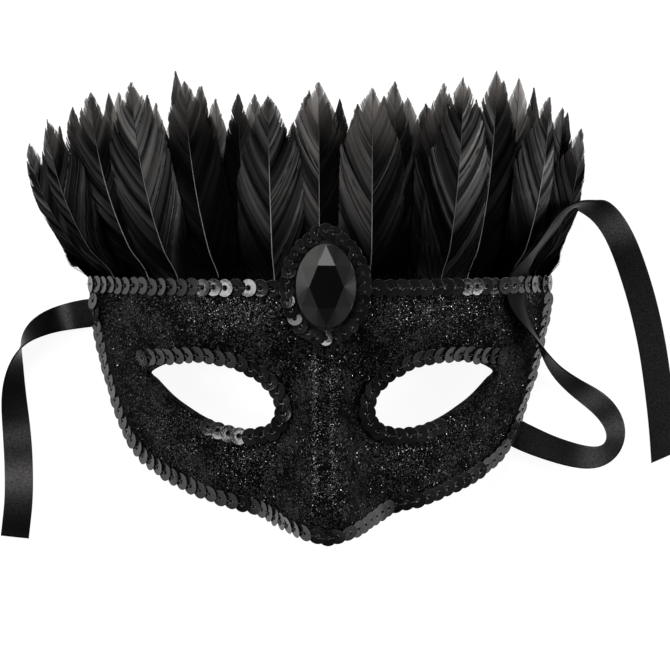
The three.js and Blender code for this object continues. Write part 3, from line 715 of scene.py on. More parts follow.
def shell_outline():
    """The right half's outline in plan: up its middle, out along its top and down round its rim."""
    edge_plan = rim(np.linspace(0, 1, 600))
    edge = evenly(on(height, edge_plan[:, 0], edge_plan[:, 1]), SHELL_CELLS["rim"])[:-1, :2]
    foot = edge[:, 1] > FOOT_END_Y
    edge[foot, 0] = side_x(edge[foot, 1])
    bottom, crest, corner = (0.0, LOWER_RIM[-1][1]), (0.0, TOP_Y), (float(side_x(TOP_Y)), TOP_Y)
    middle = evenly(np.array([crest, bottom]), SHELL_CELLS["middle"])[:-1][::-1]
    top = evenly(np.array([crest, corner]), SHELL_CELLS["top"])[1:-1]
    return np.vstack([bottom, middle, top, edge])


def shell_points():
    """Points of the right half: outside and inside, as arrays of spokes by levels by 3."""
    outline = shell_outline()
    aim = outline - EYE_CENTRE
    toward = np.arctan2(aim[:, 1], aim[:, 0])
    inner = EYE_CENTRE + np.stack([np.cos(toward), np.sin(toward)], -1) * eye_reach(aim, 1400)[:, None]
    u = np.linspace(0, 1, SHELL_CELLS["levels"] + 1)
    x, y = np.moveaxis(inner[:, None] + (outline - inner)[:, None] * u[None, :, None], -1, 0)
    outside = on(height, x, y)
    normal = normal_of(height, x, y)
    inward = -normal * WALL
    across = normal * np.array([1, 1, 0])
    level_out = -across * (WALL / np.maximum((across ** 2).sum(-1, keepdims=True), 1e-6))
    # Near the table the rim is cut level, so that it rests on it.
    low = (1 - step(outside[..., 2], *LEVEL_CUT)) * (x > 1)
    low[:, :-1] = 0
    inward = np.where(low[..., None] > 0, mix(inward, level_out, low[..., None]), inward)
    inside = outside + inward
    on_middle = outline[:, 0] == 0
    inside[on_middle, -1, 0] = 0
    return outside, inside, on_middle


def make_shell(paint):
    outside, inside, on_middle = shell_points()
    spokes, levels = outside.shape[:2]
    # Round the two edges with one more ring each, a little proud of the straight line between the faces.
    eye_edge = 0.5 * (outside[:, 0] + inside[:, 0]) + unit(outside[:, 0] - outside[:, 1]) * EYE_EDGE
    rim_edge = 0.5 * (outside[:, -1] + inside[:, -1]) + unit(outside[:, -1] - outside[:, -2]) * RIM_EDGE
    half = np.concatenate([outside, rim_edge[:, None], inside[:, ::-1], eye_edge[:, None]], 1)
    half[..., 2] = np.maximum(half[..., 2], 0.0)
    half[on_middle, levels, 0] = 0
    count = half.shape[1]
    quads = grid_faces(spokes, count, wrap_rows=True, wrap_columns=True)
    # The halves stay open where they meet in the middle.
    column, row = np.tile(np.arange(count), spokes), np.repeat(np.arange(spokes), count)
    seam = on_middle[row] & on_middle[(row + 1) % spokes]
    quads = quads[~(seam & ((column == levels - 1) | (column == levels)))]
    halves = [(half.reshape(-1, 3), quads), ((half * [-1, 1, 1]).reshape(-1, 3), quads[:, ::-1])]
    points, faces = joined(halves)
    shell = mesh_object("mask_shell_cloth", points, [faces])
    welded = bmesh.new()
    welded.from_mesh(shell.data)
    bmesh.ops.remove_doubles(welded, verts=welded.verts, dist=1e-6)
    loose = [v for v in welded.verts if not v.link_faces]
    bmesh.ops.delete(welded, geom=loose, context="VERTS")
    bmesh.ops.recalc_face_normals(welded, faces=welded.faces)
    welded.to_mesh(shell.data)
    welded.free()
    dress(shell, "glitter_fabric", paint, replaced="mask_shell")


def make_eye_piping(paint):
    """A thin rolled edge of cloth round each eye hole."""
    loop = eye_loop(180)
    x, y = (loop + unit(loop - EYE_CENTRE) * PIPING["out"]).T
    path = above(height, x, y, np.full(len(x), PIPING["lift"]))
    for side, name in ((-1, "left_eye_piping"), (1, "right_eye_piping")):
        points, faces = tube(path * [side, 1, 1], PIPING["radius"], sides=10, closed=True)
        dress(mesh_object(name, points, [faces]), "glitter_fabric", paint)


GLITTER = {"tries": 90000, "from_rim": 1.2, "from_eye": 1.0, "tilt": 0.32, "size": (0.07, 0.24),
           "lift": (0.02, 0.22), "narrow": 0.8}
THICK_GLITTER = [  # how much more glitter, then middle and reach from side to side, and the same along y
    (0.7, -29, 14, -8, 6), (0.4, 30, 16, -8, 6), (0.35, -25, 8, -60, 5), (0.35, 26, 5, -59, 8),
]
NOSE_EDGES, NOSE_EDGE_WIDTH = (-3.7, 2.1), 0.85
NOSE_EDGES_TOP, NOSE_EDGES_BOTTOM = (20, 6), (-76, 8)  # where they fade in, down the mask and up it


def glitter_cover(x, y):
    """How thickly the glitter lies, from 0 to 1: in uneven patches, and along the edges of the nose."""
    patch = np.sin(0.31 * x + 1.3 + 1.2 * np.sin(0.17 * y)) * np.sin(0.37 * y + 0.4 + 1.1 * np.sin(0.23 * x))
    fine = np.sin(0.9 * x + 2.0 * np.sin(0.5 * y)) * np.sin(1.1 * y + 1.7 * np.sin(0.6 * x))
    thick = sum(more * bell(x - across, wide) * bell(y - at, deep)
                for more, across, wide, at, deep in THICK_GLITTER)
    edges = sum(bell(x - at, NOSE_EDGE_WIDTH) for at in NOSE_EDGES)
    on_nose = step(-y, *NOSE_EDGES_TOP) * step(y, *NOSE_EDGES_BOTTOM)
    return 0.2 + 0.12 * patch + 0.08 * fine + thick + edges * on_nose


def make_glitter(paint):
    """Loose flakes of glitter standing in the nap of the cloth, each turned its own way."""
    rng = np.random.default_rng(11)
    x = rng.uniform(-HALF_WIDTH, HALF_WIDTH, GLITTER["tries"])
    y = rng.uniform(LOWER_RIM[-1][1], TOP_Y, GLITTER["tries"])
    rim_line = rim(np.linspace(0, 1, 500))
    order = np.argsort(rim_line[:, 1])
    limit = np.interp(y, rim_line[order, 1], rim_line[order, 0])
    aim = np.stack([np.abs(x), y], -1) - EYE_CENTRE
    keep = (np.abs(x) < limit - GLITTER["from_rim"])
    keep &= np.linalg.norm(aim, axis=1) > eye_reach(aim, 400) + GLITTER["from_eye"]
    keep &= rng.random(len(x)) < glitter_cover(x, y)
    x, y = x[keep], y[keep]
    n = len(x)
    facing = unit(normal_of(height, x, y) + rng.normal(0, GLITTER["tilt"], (n, 3)))
    long = unit(np.cross(facing, rng.normal(0, 1, (n, 3))))
    wide = np.cross(facing, long)
    size = rng.uniform(*GLITTER["size"], n)[:, None]
    at = above(height, x, y, rng.uniform(*GLITTER["lift"], n))
    long, wide = long * size, wide * size * GLITTER["narrow"]
    points = np.stack([at + long, at + wide, at - long, at - wide], 1).reshape(-1, 3)
    obj = mesh_object("mask_glitter", points, [np.arange(4 * n).reshape(n, 4)], smooth_shaded=False,
                      attributes={"flake": np.repeat(rng.uniform(0, 1, n), 4)})
    dress(obj, "glitter_fabric", paint)


# Sequins

SEGMENTS = 26
SEQUIN_THICK = 0.09
# Where the last discs at the top right begin to face outwards, over how far, and by what angle.
RIGHT_END = {"x": (66.0, 6.0), "turn": 17.0}
CUP = [  # radius as a share of the disc's, height in millimetres: hole, flat bottom, flank, lip
    (0.19, 0.02), (0.36, 0.0), (0.62, 0.012), (0.85, 0.035), (0.97, 0.06), (1.0, 0.06),
]
TURN_SIDE = 0.8  # how far to each side a strand's direction is read
SHINGLE = 8.0  # degrees that each disc leans on the next
# How a disc lies on its strand: millimetres above it, with what unevenness, and to its side; how much its
# lean varies, as a share of its jitter; and how much it is bent and twisted.
LIE = {"above": 0.35, "uneven": (-0.05, 0.12), "aside": 0.12, "leans": 0.6, "bent": 0.006,
       "twisted": 0.004, "above_table": 0.05}
STITCH = {"radius": 0.13, "above_table": 0.2}
# A stitch's way over its disc: up, back, and further back as a share of the disc's radius.
STITCH_WAY = [(-0.1, 0.0, 0.0), (0.34, 0.35, 0.0), (0.5, 0.0, 0.62), (0.45, 0.0, 0.98)]
RING_SEQUINS = {"pitch": 3.2, "radius": 2.5, "shingle": 14, "jitter": 9}
TOP_STRAND = {"from_ring": 2.6, "from_end": 0.6}


def disc_mesh(radius):
    """One cup sequin with a hole, as a thin closed body round the origin."""
    a = np.linspace(0, 2 * math.pi, SEGMENTS, endpoint=False)
    top = np.stack([np.stack([radius * share * np.cos(a), radius * share * np.sin(a),
                              np.full(SEGMENTS, rise * radius / SEQUIN_RADIUS)], -1) for share, rise in CUP])
    points = np.concatenate([top, top[::-1] - np.array([0, 0, SEQUIN_THICK])])
    faces = grid_faces(len(points), SEGMENTS, wrap_rows=True, wrap_columns=True)
    return points.reshape(-1, 3), faces[:, ::-1]


def strand_frames(surface, plan, pitch, closed=False, raise_by=None):
    """Places along a plan curve on a surface, with the strand's direction, side and normal at each."""
    fine = on(surface, plan[:, 0], plan[:, 1])
    total = float(lengths_along(fine)[-1])
    count = int(round(total / pitch))
    where = (np.arange(count) + (0.0 if closed else 0.5)) * total / count
    after, before = [(where + off) % total if closed else where + off for off in (TURN_SIDE, -TURN_SIDE)]
    at = at_lengths(fine, fine, where)
    along = unit(at_lengths(fine, fine, after) - at_lengths(fine, fine, before))
    normal = normal_of(surface, at[:, 0], at[:, 1])
    side = unit(np.cross(normal, along))
    along = np.cross(side, normal)
    # Where the surface bulges under the strand, the strand lies on the bulge.
    flank = [at + side * (s * SEQUIN_RADIUS) for s in (-1, 1)]
    sink = np.maximum(0, np.max([((on(surface, f[:, 0], f[:, 1]) - at) * normal).sum(-1) for f in flank], 0))
    lift = STRAND_LIFT + sink + (raise_by(at[:, 0]) if raise_by is not None else 0)
    return at + normal * np.asarray(lift)[:, None], along, side, normal


def make_strand(name, node, frames, paint, thread, seed, radius=SEQUIN_RADIUS, shingle=SHINGLE, jitter=3.5):
    """Cup sequins sewn on in a row, each lapping over the next, and the stitch through each one."""
    rng = np.random.default_rng(seed)
    at, along, side, normal = frames
    n = len(at)
    lap = np.radians(shingle + rng.normal(0, jitter * LIE["leans"], n))[:, None]
    roll = np.radians(rng.normal(0, jitter, n))[:, None]
    # Lapped over the next one, so the far edge is up and the disc leans back towards where the strand starts.
    fore = along * np.cos(lap) + normal * np.sin(lap)
    up = unit(normal * np.cos(lap) - along * np.sin(lap) + side * np.sin(roll))
    wide = unit(np.cross(up, fore))
    fore = np.cross(wide, up)
    centre = at + normal * (LIE["above"] + rng.uniform(*LIE["uneven"], n))[:, None]
    centre = centre + side * rng.normal(0, LIE["aside"], n)[:, None]
    spin = rng.uniform(0, 2 * math.pi, n)[:, None]
    shape, quads = disc_mesh(radius)
    x = shape[None, :, 0] * np.cos(spin) - shape[None, :, 1] * np.sin(spin)
    y = shape[None, :, 0] * np.sin(spin) + shape[None, :, 1] * np.cos(spin)
    # Pressed film is never quite flat: each disc bends a little about its own line.
    bent, twisted = [rng.normal(0, LIE[way], n)[:, None] for way in ("bent", "twisted")]
    z = shape[None, :, 2] + (bent * x ** 2 + twisted * x * y)
    points = (centre[:, None] + fore[:, None] * x[..., None] + wide[:, None] * y[..., None]
              + up[:, None] * z[..., None])
    points[..., 2] = np.maximum(points[..., 2], LIE["above_table"])
    discs = mesh_object(name, points.reshape(-1, 3), [repeated(quads, n, len(shape))],
                        attributes={"disc": np.repeat(rng.uniform(0, 1, n), len(shape))})
    dress(discs, "sequin", paint, replaced=node)
    points, faces = joined([stitch(*k, radius) for k in zip(centre, up, -fore)])
    dress(mesh_object(name + "_thread", points, [faces]), "sequin", thread)


def stitch(centre, up, back, radius):
    """A stitch comes up through a disc's hole and runs back over the disc to its near edge."""
    hump = [centre + up * rise + back * (off + share * radius) for rise, off, share in STITCH_WAY]
    path = spline(hump, np.linspace(0, 1, 7))
    path[:, 2] = np.maximum(path[:, 2], STITCH["above_table"])
    return tube(path, STITCH["radius"], sides=5)


def moved(plan, distance):
    ahead = np.vstack([plan[1:], plan[-1:]])
    behind = np.vstack([plan[:1], plan[:-1]])
    d = unit(ahead - behind)
    return plan + np.stack([-d[:, 1], d[:, 0]], -1) * np.broadcast_to(distance, len(plan))[:, None]


# The rim's strand starts below the top strand, and comes a little nearer to the edge along the side.
RIM_STRAND = {"below": -4.4, "nearer": 0.1, "along": (0.32, 0.2)}


def rim_plan():
    t = np.linspace(0, 1, 400)
    line = rim(t)
    keep = line[:, 1] < RIM_STRAND["below"]
    line, t = line[keep], np.linspace(0, 1, int(keep.sum()))
    nearer = RIM_STRAND["nearer"] * (1 - step(t, *RIM_STRAND["along"]))
    half = moved(line, -(EDGE_INSET - nearer))
    return np.vstack([half * [-1, 1], half[::-1][1:]])


def eye_plan(side):
    round_eye = spline(EYE, np.linspace(EYE_STRAND["from"], EYE_STRAND["to"], 91), closed=True)
    return np.vstack([EYE_STRAND["lead"], moved(round_eye, -EYE_STRAND["inset"])]) * [side, 1]


def ring_plan(grow=0.0, count=300):
    a = np.linspace(0, 2 * math.pi, count) + math.pi / 2
    point = RING["point"] * bell(np.cos(a), RING["point_width"]) * (np.sin(a) > 0)
    return np.stack([(RING["half_width"] + grow) * np.cos(a),
                     RING["y"] + (RING["half_height"] + grow + point) * np.sin(a)], -1)


def over_ribbon(x):
    return CROSSING["raise"] * (1 - step(np.abs(x - CROSSING["x"]), CROSSING["half"], CROSSING["ease"]))


# The jewel and its patch of felt

BACKING_BOTTOM = float(height(0.0, RING["y"] - 12)) + 1.6
BACKING_TOP = BACKING_BOTTOM + BACKING_THICK
# The patch from its middle to its edge: the share of its outline, and how far its face draws in.
BACKING_PROFILE = [(0.001, 0.0), (0.5, 0.0), (0.985, 0.0), (1.0, 0.2)]
BACKING_BORDER = 1.2  # outside the ring of sequins
# The stone: points round its girdle, how far up the patch it sits, the angle in degrees under which two
# faces are one facet, and its edges' wear in metres, at bends of more than so many degrees.
STONE = {"round": 48, "up": 0.4, "one_facet": 0.6, "wear": 0.00012, "worn_from": 8}


def make_backing(paint):
    outline = ring_plan(BACKING_BORDER, 120)[:-1]
    count = len(outline)
    centre = np.array([0.0, RING["y"]])
    lower = [(share, BACKING_BOTTOM + rise) for share, rise in BACKING_PROFILE]
    upper = [(share, BACKING_TOP - rise) for share, rise in BACKING_PROFILE[::-1]]
    points = np.vstack([np.column_stack([centre + (outline - centre) * share, np.full(count, z)])
                        for share, z in lower + upper])
    rows = len(lower + upper)
    caps = [np.arange(count)[::-1], np.arange(count) + (rows - 1) * count]
    patch = mesh_object("jewel_backing_felt", points, [grid_faces(rows, count, wrap_columns=True), caps])
    dress(patch, "felt", paint, replaced="jewel_backing")


def make_jewel(paint):
    def ring(count, start, size, z):
        a = start + np.arange(count) * 2 * math.pi / count
        return np.stack([JEWEL["width"] / 2 * size * np.cos(a), JEWEL["height"] / 2 * size * np.sin(a),
                         np.full(count, z)], -1)

    points = np.vstack([
        ring(STONE["round"], 0, JEWEL["foot"], 0.0),
        *[ring(STONE["round"], 0, 1, JEWEL[level]) for level in ("girdle_from", "girdle_to")],
        ring(6, math.pi / 6, FACETS["star_size"], FACETS["star_rise"]),
        ring(6, 0, FACETS["table_size"], JEWEL["rise"]),
    ]) + np.array([0, RING["y"] + STONE["up"], BACKING_TOP + FACETS["glue"]])
    body = bmesh.new()
    for p in rowed(points):
        body.verts.new(p)
    bmesh.ops.convex_hull(body, input=body.verts)
    bmesh.ops.dissolve_limit(body, angle_limit=math.radians(STONE["one_facet"]), verts=body.verts,
                             edges=body.edges)
    mesh = bpy.data.meshes.new("jewel_stone")
    body.to_mesh(mesh)
    body.free()
    jewel = linked("jewel_stone", mesh)
    worn = jewel.modifiers.new("polished_edges", "BEVEL")
    worn.width, worn.segments = STONE["wear"], 2
    worn.limit_method, worn.angle_limit = "ANGLE", math.radians(STONE["worn_from"])
    dress(jewel, "jewel", paint, replaced="jewel")


# Feathers

# From left to right as seen from the front: a feather's tip, and its layer, where 0 is in front.
FEATHERS = [
    (-103, 49.5, 1), (-99, 55, 3), (-95.5, 57.5, 0), (-92.5, 55.5, 2), (-88.5, 62, 3), (-84.5, 61.5, 2),
    (-80.5, 66.5, 1), (-75.5, 66.5, 3), (-71, 66.5, 2), (-65.5, 69.5, 0), (-61.5, 65.5, 3), (-58, 62.5, 2),
    (-51.5, 73.5, 3), (-47.5, 69.5, 1), (-42, 68.5, 2), (-37.5, 64, 3), (-29.5, 65.5, 2), (-24, 65.5, 3),
    (-19, 64.5, 0), (-14, 55, 2), (-5.3, 67, 3), (-2, 69, 1), (1.2, 62.5, 2), (5.3, 64, 3), (11.2, 62, 2),
    (16, 67, 0), (20.8, 65, 3), (24, 69.5, 1), (28.8, 64.5, 2), (35.5, 62.5, 3), (41, 69, 1), (47.3, 71, 0),
    (53, 64, 2), (59.7, 74, 1), (63.6, 70.8, 3), (68.4, 71.5, 2), (75, 68.5, 3), (78.2, 65, 0), (85, 62, 2),
    (88, 60.5, 3), (91.3, 54.5, 1),
]
LEAN = {"left": 0.26, "right": 0.16, "full_at": 45.0}
BEND = -0.1
QUILL_Y = -4.0
QUILL_REACH = {"left": 73.5, "right": 77.0}
VANE = {"widest": 11.0, "at_quill": 0.85, "full_at": 0.36, "free_at_quill": 3.0}
SHARE = {-1: 0.58, 1: 0.42}  # of the gap to the next feather of its layer, left and right of a shaft
VANE_CLEARANCE = 0.45
OUTER_HALF_WIDTH = 4.6
LOWEST_WEB = 0.3  # above the table
# Past the shell's edge the feathers come forward: over what stretch, how deep the front layer then lies,
# and its clearance under the shell before that.
FORWARD = {"y": (3.0, 10.0), "depth": 0.7, "clearance": 0.65}

# Painted sheen on the left and right vanes of some feathers, and painted highlights on their shafts: most are
# near black.
PAINTED_VANE_SHEEN = {
    0: (0.4, 0.3), 2: (0.35, 0.25), 4: (0.2, 0.15), 6: (0.2, 0.1), 9: (0.45, 0.95), 12: (0.5, 0.5),
    13: (0.04, 0.04), 18: (0.35, 0.6), 21: (0.7, 0.03), 25: (0.95, 0.12), 27: (0.4, 0.05),
    30: (0.12, 0.05), 31: (0.3, 0.8), 33: (0.5, 0.03), 37: (0.3, 0.65), 40: (0.2, 0.2),
}
PAINTED_SHAFT_HIGHLIGHTS = {2: 0.3, 4: 0.25, 6: 1.0, 9: 0.5, 13: 0.6, 18: 0.9, 21: 0.35, 25: 0.5, 27: 0.6, 30: 0.6,
               31: 0.2, 33: 0.7, 37: 0.8}
BARBS = 250  # on each side of a shaft
CLUMP = 8.0  # barbs that cling together, on average
BARB_STEPS = 7
# How the barbs lie: shares of the shaft's length or of their own, and degrees. The shortest reach and the
# height above the web are in millimetres, and the half width is a share of the distance between barbs.
BARB = {"from": 0.05, "slant": 2.1, "split_reach": 0.035, "ragged": (0.45, 0.5), "at_root": 0.35,
        "clump_end": 0.006, "clump_width": 0.055, "own_end": 0.0012, "own_width": 0.012, "shortest": 0.06,
        "above_web": 0.34, "clump_turn": 13, "own_turn": 3, "half_width": 0.75, "taper": 0.55}
# How much painted sheen they have: painted shade in a gap between clumps and how often there is one, how
# much clumps and single barbs differ, how little near the quill and along what stretch that ends, without
# and with the painted silky shine, and how unevenly the clumps thin out.
TONE = {"gap": 0.2, "gap_chance": 0.5, "clumps": (0.4, 1.35), "own": 0.15, "at_quill": 0.12,
        "along": (0.22, 0.4), "dull": 0.1, "silky": 1.7, "thin_clumps": (0.5, 1.15)}
WAVES = [(1.2, 2.2), (3.0, 5.0), (7.0, 11.0), (15.0, 24.0)]  # how many run along a vane, broad to fine
SWELL = (0.26, 0.18, 0.1)  # millimetres at a vane's edge, for each of its broader waves
CURL = {"down": 0.55, "at": 8.6, "most": 0.7}  # millimetres down, at how far from the shaft, and at most
VANE_TIP = {"from": (0.54, 0.66), "power": (1.35, 1.9)}  # where a vane narrows, and how bluntly
FOLD = 6  # degrees that a whole vane may be turned
SPLITS = {"count": (2, 6), "at": (0.3, 0.97), "opening": (0.001, 0.004)}  # shares of a shaft's length
THIN = {"by": (0.35, 1.0), "from": (0.6, 0.82), "to": 1.02}  # how much a web thins out, and where
# The closed part of the vanes, and the shaft. Lifts and thicknesses are in millimetres.
WEB = {"rows": 48, "columns": 13, "from": 0.02, "to": 0.975, "reach": 0.93, "tip_reach": 0.6,
       "narrows": (0.6, 0.35), "lift": 0.1}
# The shaft's painted highlight fades out over "darkens", and "dark" is its strength on feathers not listed.
SHAFT = {"points": 34, "to": 0.985, "lift": 0.5, "thick": 0.18, "fine": 0.07, "sides": 7, "squash": 0.8,
         "darkens": (0.55, 0.25), "dark": 0.03}
BANK_WAVES = (13, 15, 9)  # degrees that the barbs turn with each of a vane's finer waves


def layer_depth(layer, y):
    under_shell = WALL + FORWARD["clearance"] + FEATHER_THICK / 2
    return -mix(under_shell, FORWARD["depth"], step(y, *FORWARD["y"])) - LAYER_STEP * layer


def shaft_plan(feather, s):
    """The plan of a shaft at each s, from its quill at 0 to its tip at 1."""
    x, y = feather[:2]
    s = np.asarray(s, float)[..., None]
    hand = "left" if x < 0 else "right"
    lean = x * LEAN[hand] * smooth(abs(x) / LEAN["full_at"])
    base = np.array([math.copysign(min(abs(x - lean), QUILL_REACH[hand]), x), QUILL_Y])
    bend = np.array([x + BEND * lean, 0.5 * (QUILL_Y + y)])
    return (1 - s) ** 2 * base + 2 * s * (1 - s) * bend + s * s * np.array([x, y])


class Feather:
    """One feather's shaft on the crown, and the way from its own two coordinates to the mask's frame."""

    def __init__(self, index, rng):
        self.own = FEATHERS[index]
        self.layer = self.own[2]
        left = [f for f in FEATHERS[:index] if f[2] == self.layer]
        right = [f for f in FEATHERS[index + 1:] if f[2] == self.layer]
        self.next = {-1: left[-1] if left else None, 1: right[0] if right else None}
        self.length = float(lengths_along(self.plan(np.linspace(0, 1, 40)))[-1])
        self.thinness = rng.uniform(*THIN["by"])
        self.thin_from = rng.uniform(*THIN["from"])

    def plan(self, s):
        return shaft_plan(self.own, s)

    def thinned(self, s):
        """How far the web has thinned out towards the tip, from 0 to 1."""
        return self.thinness * step(s, self.thin_from, THIN["to"] - self.thin_from)

    def room(self, s, hand):
        """Half the width of the vane at s, hand -1 left or 1 right, before it narrows to the tip."""
        if self.next[hand] is None:
            # The web of an outermost feather reaches out to the corner of the band.
            return OUTER_HALF_WIDTH * mix(VANE["free_at_quill"], 1, smooth(s / VANE["full_at"]))
        (x, y), (nx, ny) = [np.moveaxis(shaft_plan(own, s), -1, 0) for own in (self.own, self.next[hand])]
        room = SHARE[hand] * np.hypot(nx - x, crown(nx, ny) - crown(x, y)) - VANE_CLEARANCE
        return np.minimum(VANE["widest"], room) * mix(VANE["at_quill"], 1, smooth(s / VANE["full_at"]))

    def placed(self, s, across, rise):
        """The point at s along the shaft, across mm to its right and rise mm above the feather's sheet."""
        s, across, rise = np.broadcast_arrays(s, across, rise)
        p = self.plan(s)
        d = unit(self.plan(np.minimum(s + 0.01, 1.02)) - self.plan(s - 0.01))
        steep = np.abs(normal_of(crown, p[..., 0], p[..., 1])[..., 2])
        x = p[..., 0] + d[..., 1] * across * steep
        y = p[..., 1] - d[..., 0] * across * steep
        lies = above(crown, x, y, layer_depth(self.layer, p[..., 1]) + rise)
        lies[..., 2] = np.maximum(lies[..., 2], LOWEST_WEB)
        return lies


class Vane:
    """One side of a feather: its outline, the splits in it, how its barbs lie, and their painted sheen."""

    def __init__(self, feather, rng, hand, painted_vane_sheen):
        self.feather, self.hand, self.painted_vane_sheen = feather, hand, painted_vane_sheen
        self.tip_from = rng.uniform(*VANE_TIP["from"])
        self.tip_power = rng.uniform(*VANE_TIP["power"])
        self.fold = rng.normal(0, FOLD)
        count = rng.integers(*SPLITS["count"])
        self.splits = np.sort(rng.uniform(*SPLITS["at"], count))
        self.openings = rng.uniform(*SPLITS["opening"], count)
        self.waves = [(rng.uniform(low, high), rng.uniform(0, 2 * math.pi)) for low, high in WAVES]

    def half_width(self, s):
        narrowed = 1 - np.clip((s - self.tip_from) / (1 - self.tip_from), 0, 1) ** self.tip_power
        return self.feather.room(s, self.hand) * narrowed

    def wave(self, k, at):
        often, start = self.waves[k]
        return np.sin(2 * math.pi * often * at + start)

    def swell(self, root):
        """How the vane rises and falls along its shaft, in millimetres at its edge."""
        return sum(size * self.wave(k, root) for k, size in enumerate(SWELL))

    def painted_shine(self, root):
        """How much painted sheen the barbs have along the shaft, from 0 to 1: broad bands with finer ones in
        them.
        """
        broad = 0.55 + 0.4 * self.wave(1, root) + 0.2 * self.wave(0, root)
        fine = 0.5 + 0.34 * self.wave(2, root) + 0.24 * self.wave(3, root)
        return np.clip(broad, 0, 1) ** 1.3 * (0.15 + 0.95 * np.clip(fine, 0, 1))


class Barbs:
    """The barbs of one vane, and the clumps in which they cling together."""

    def __init__(self, vane, rng):
        """Where each barb ends along the shaft, where its root is, and how far it reaches out."""
        self.vane, self.rng = vane, rng
        end = np.linspace(BARB["from"], 1.0, BARBS)
        width = vane.half_width(end)
        back = BARB["slant"] * width / vane.feather.length + 0.012
        self.root = np.clip(end - back, 0.01, 0.985)[:, None]
        # The barbs part at each split, and lie closer together beside it.
        opened = np.zeros(BARBS)
        for at, opening in zip(vane.splits, vane.openings):
            off = end - at
            opened += np.where(off > 0, 1.0, -1.0) * opening * np.exp(-np.abs(off) / BARB["split_reach"])
        # Clumps stand apart from each other towards the tip.
        self.starts = rng.random(BARBS) < 1 / CLUMP
        self.clump = np.cumsum(self.starts)
        ragged = step(end, *BARB["ragged"])
        end = end + self.by_clump(rng.normal(0, BARB["clump_end"], BARBS)) * ragged
        width = width * (1 + self.by_clump(rng.normal(0, BARB["clump_width"], BARBS)) * ragged)
        opened = opened * smooth((1 - end) / 0.05)
        self.end = np.clip(end + opened + rng.normal(0, BARB["own_end"], BARBS), 0.0, 1.0)[:, None]
        self.width = (width * (1 + rng.normal(0, BARB["own_width"], BARBS)) + BARB["shortest"])[:, None]

    def by_clump(self, values):
        return values[self.clump % len(values)]

    def points(self, s, u):
        """Narrow strips of BARB_STEPS pairs of points. u runs along a barb, s is its place by the shaft."""
        vane, feather, rng = self.vane, self.vane.feather, self.rng
        across = vane.hand * self.width * (1 - (1 - u) ** 1.25)
        rise = BARB["above_web"] + vane.swell(s) * np.abs(across) / self.width + edge_curl(across)
        line = feather.placed(s, across, rise)
        behind, ahead = [np.swapaxes(part, 0, 1) for part in neighbours(np.swapaxes(line, 0, 1))]
        way = unit(ahead - behind)
        p = feather.plan(s)
        flat = unit(np.cross(normal_of(crown, p[..., 0], p[..., 1]), way))
        upright = np.cross(way, flat)
        waves = [degrees * vane.wave(k, self.root) for k, degrees in enumerate(BANK_WAVES, 1)]
        own = self.by_clump(rng.normal(0, BARB["clump_turn"], BARBS)) + rng.normal(0, BARB["own_turn"], BARBS)
        twist = np.radians(vane.fold + sum(waves) + own[:, None]) * mix(BARB["at_root"], 1, u)
        turned = flat * np.cos(twist)[..., None] + upright * np.sin(twist)[..., None]
        apart = feather.length * (1 - BARB["from"]) / BARBS
        half = apart * BARB["half_width"] * (1 - BARB["taper"] * u ** 4)
        out = turned * half[..., None]
        return np.stack([line - out, line + out], 2).reshape(-1, 3)

    def attributes(self, s):
        """How much painted sheen each point has, and how thin the web is there."""
        vane, rng = self.vane, self.rng
        # Painted shade: the barbs beside some gaps between clumps are darker.
        beside = self.starts | np.roll(self.starts, 1)
        gap = beside & self.by_clump(rng.random(BARBS) < TONE["gap_chance"])
        apart = np.where(gap, TONE["gap"], 1.0)[:, None]
        own = self.by_clump(rng.uniform(*TONE["clumps"], BARBS)) * (1 + rng.normal(0, TONE["own"], BARBS))
        from_quill = mix(TONE["at_quill"], 1, step(s, *TONE["along"]))
        silky = TONE["dull"] + TONE["silky"] * vane.painted_shine(self.root)
        # The tone paints sheen into the colour: painted highlights in bands, less near the quill.
        painted_tone = vane.painted_vane_sheen * from_quill * own[:, None] * apart * silky
        tip = vane.feather.thinned(s) * self.by_clump(rng.uniform(*TONE["thin_clumps"], BARBS))[:, None]
        shares = {"painted_tone": painted_tone, "tip": tip}
        return {key: np.repeat(np.clip(v, 0, 1), 2, axis=1).ravel() for key, v in shares.items()}


def edge_curl(across):
    """How far the vane curls down towards its edge."""
    return np.maximum(-CURL["down"] * (across / CURL["at"]) ** 2, -CURL["most"])


def barb_strips(vane, rng):
    """All the barbs of one vane: points, quads and attributes."""
    barbs = Barbs(vane, rng)
    u = np.linspace(0, 1, BARB_STEPS)[None, :]
    s = barbs.root + (barbs.end - barbs.root) * u ** 1.1
    points = barbs.points(s, u)
    return points, repeated(grid_faces(BARB_STEPS, 2), BARBS, BARB_STEPS * 2), barbs.attributes(s)


def web_sheet(feather, vanes):
    """The closed part of the vanes, under the barbs."""
    rows, columns = WEB["rows"], WEB["columns"]
    s = np.linspace(WEB["from"], WEB["to"], rows)[:, None]
    q = np.linspace(-1, 1, columns)[None, :]
    left, right = [vanes[hand].half_width(s) for hand in (-1, 1)]
    reach = mix(WEB["reach"], WEB["tip_reach"], step(s, *WEB["narrows"]))
    across = q * np.where(q < 0, left, right) * reach
    swell = np.where(q < 0, vanes[-1].swell(s), vanes[1].swell(s)) * np.abs(q)
    points = feather.placed(s, across, WEB["lift"] + swell + edge_curl(across))
    tip = np.broadcast_to(feather.thinned(s), across.shape).ravel()
    return points.reshape(-1, 3), grid_faces(rows, columns), {"painted_tone": np.zeros(tip.size), "tip": tip}


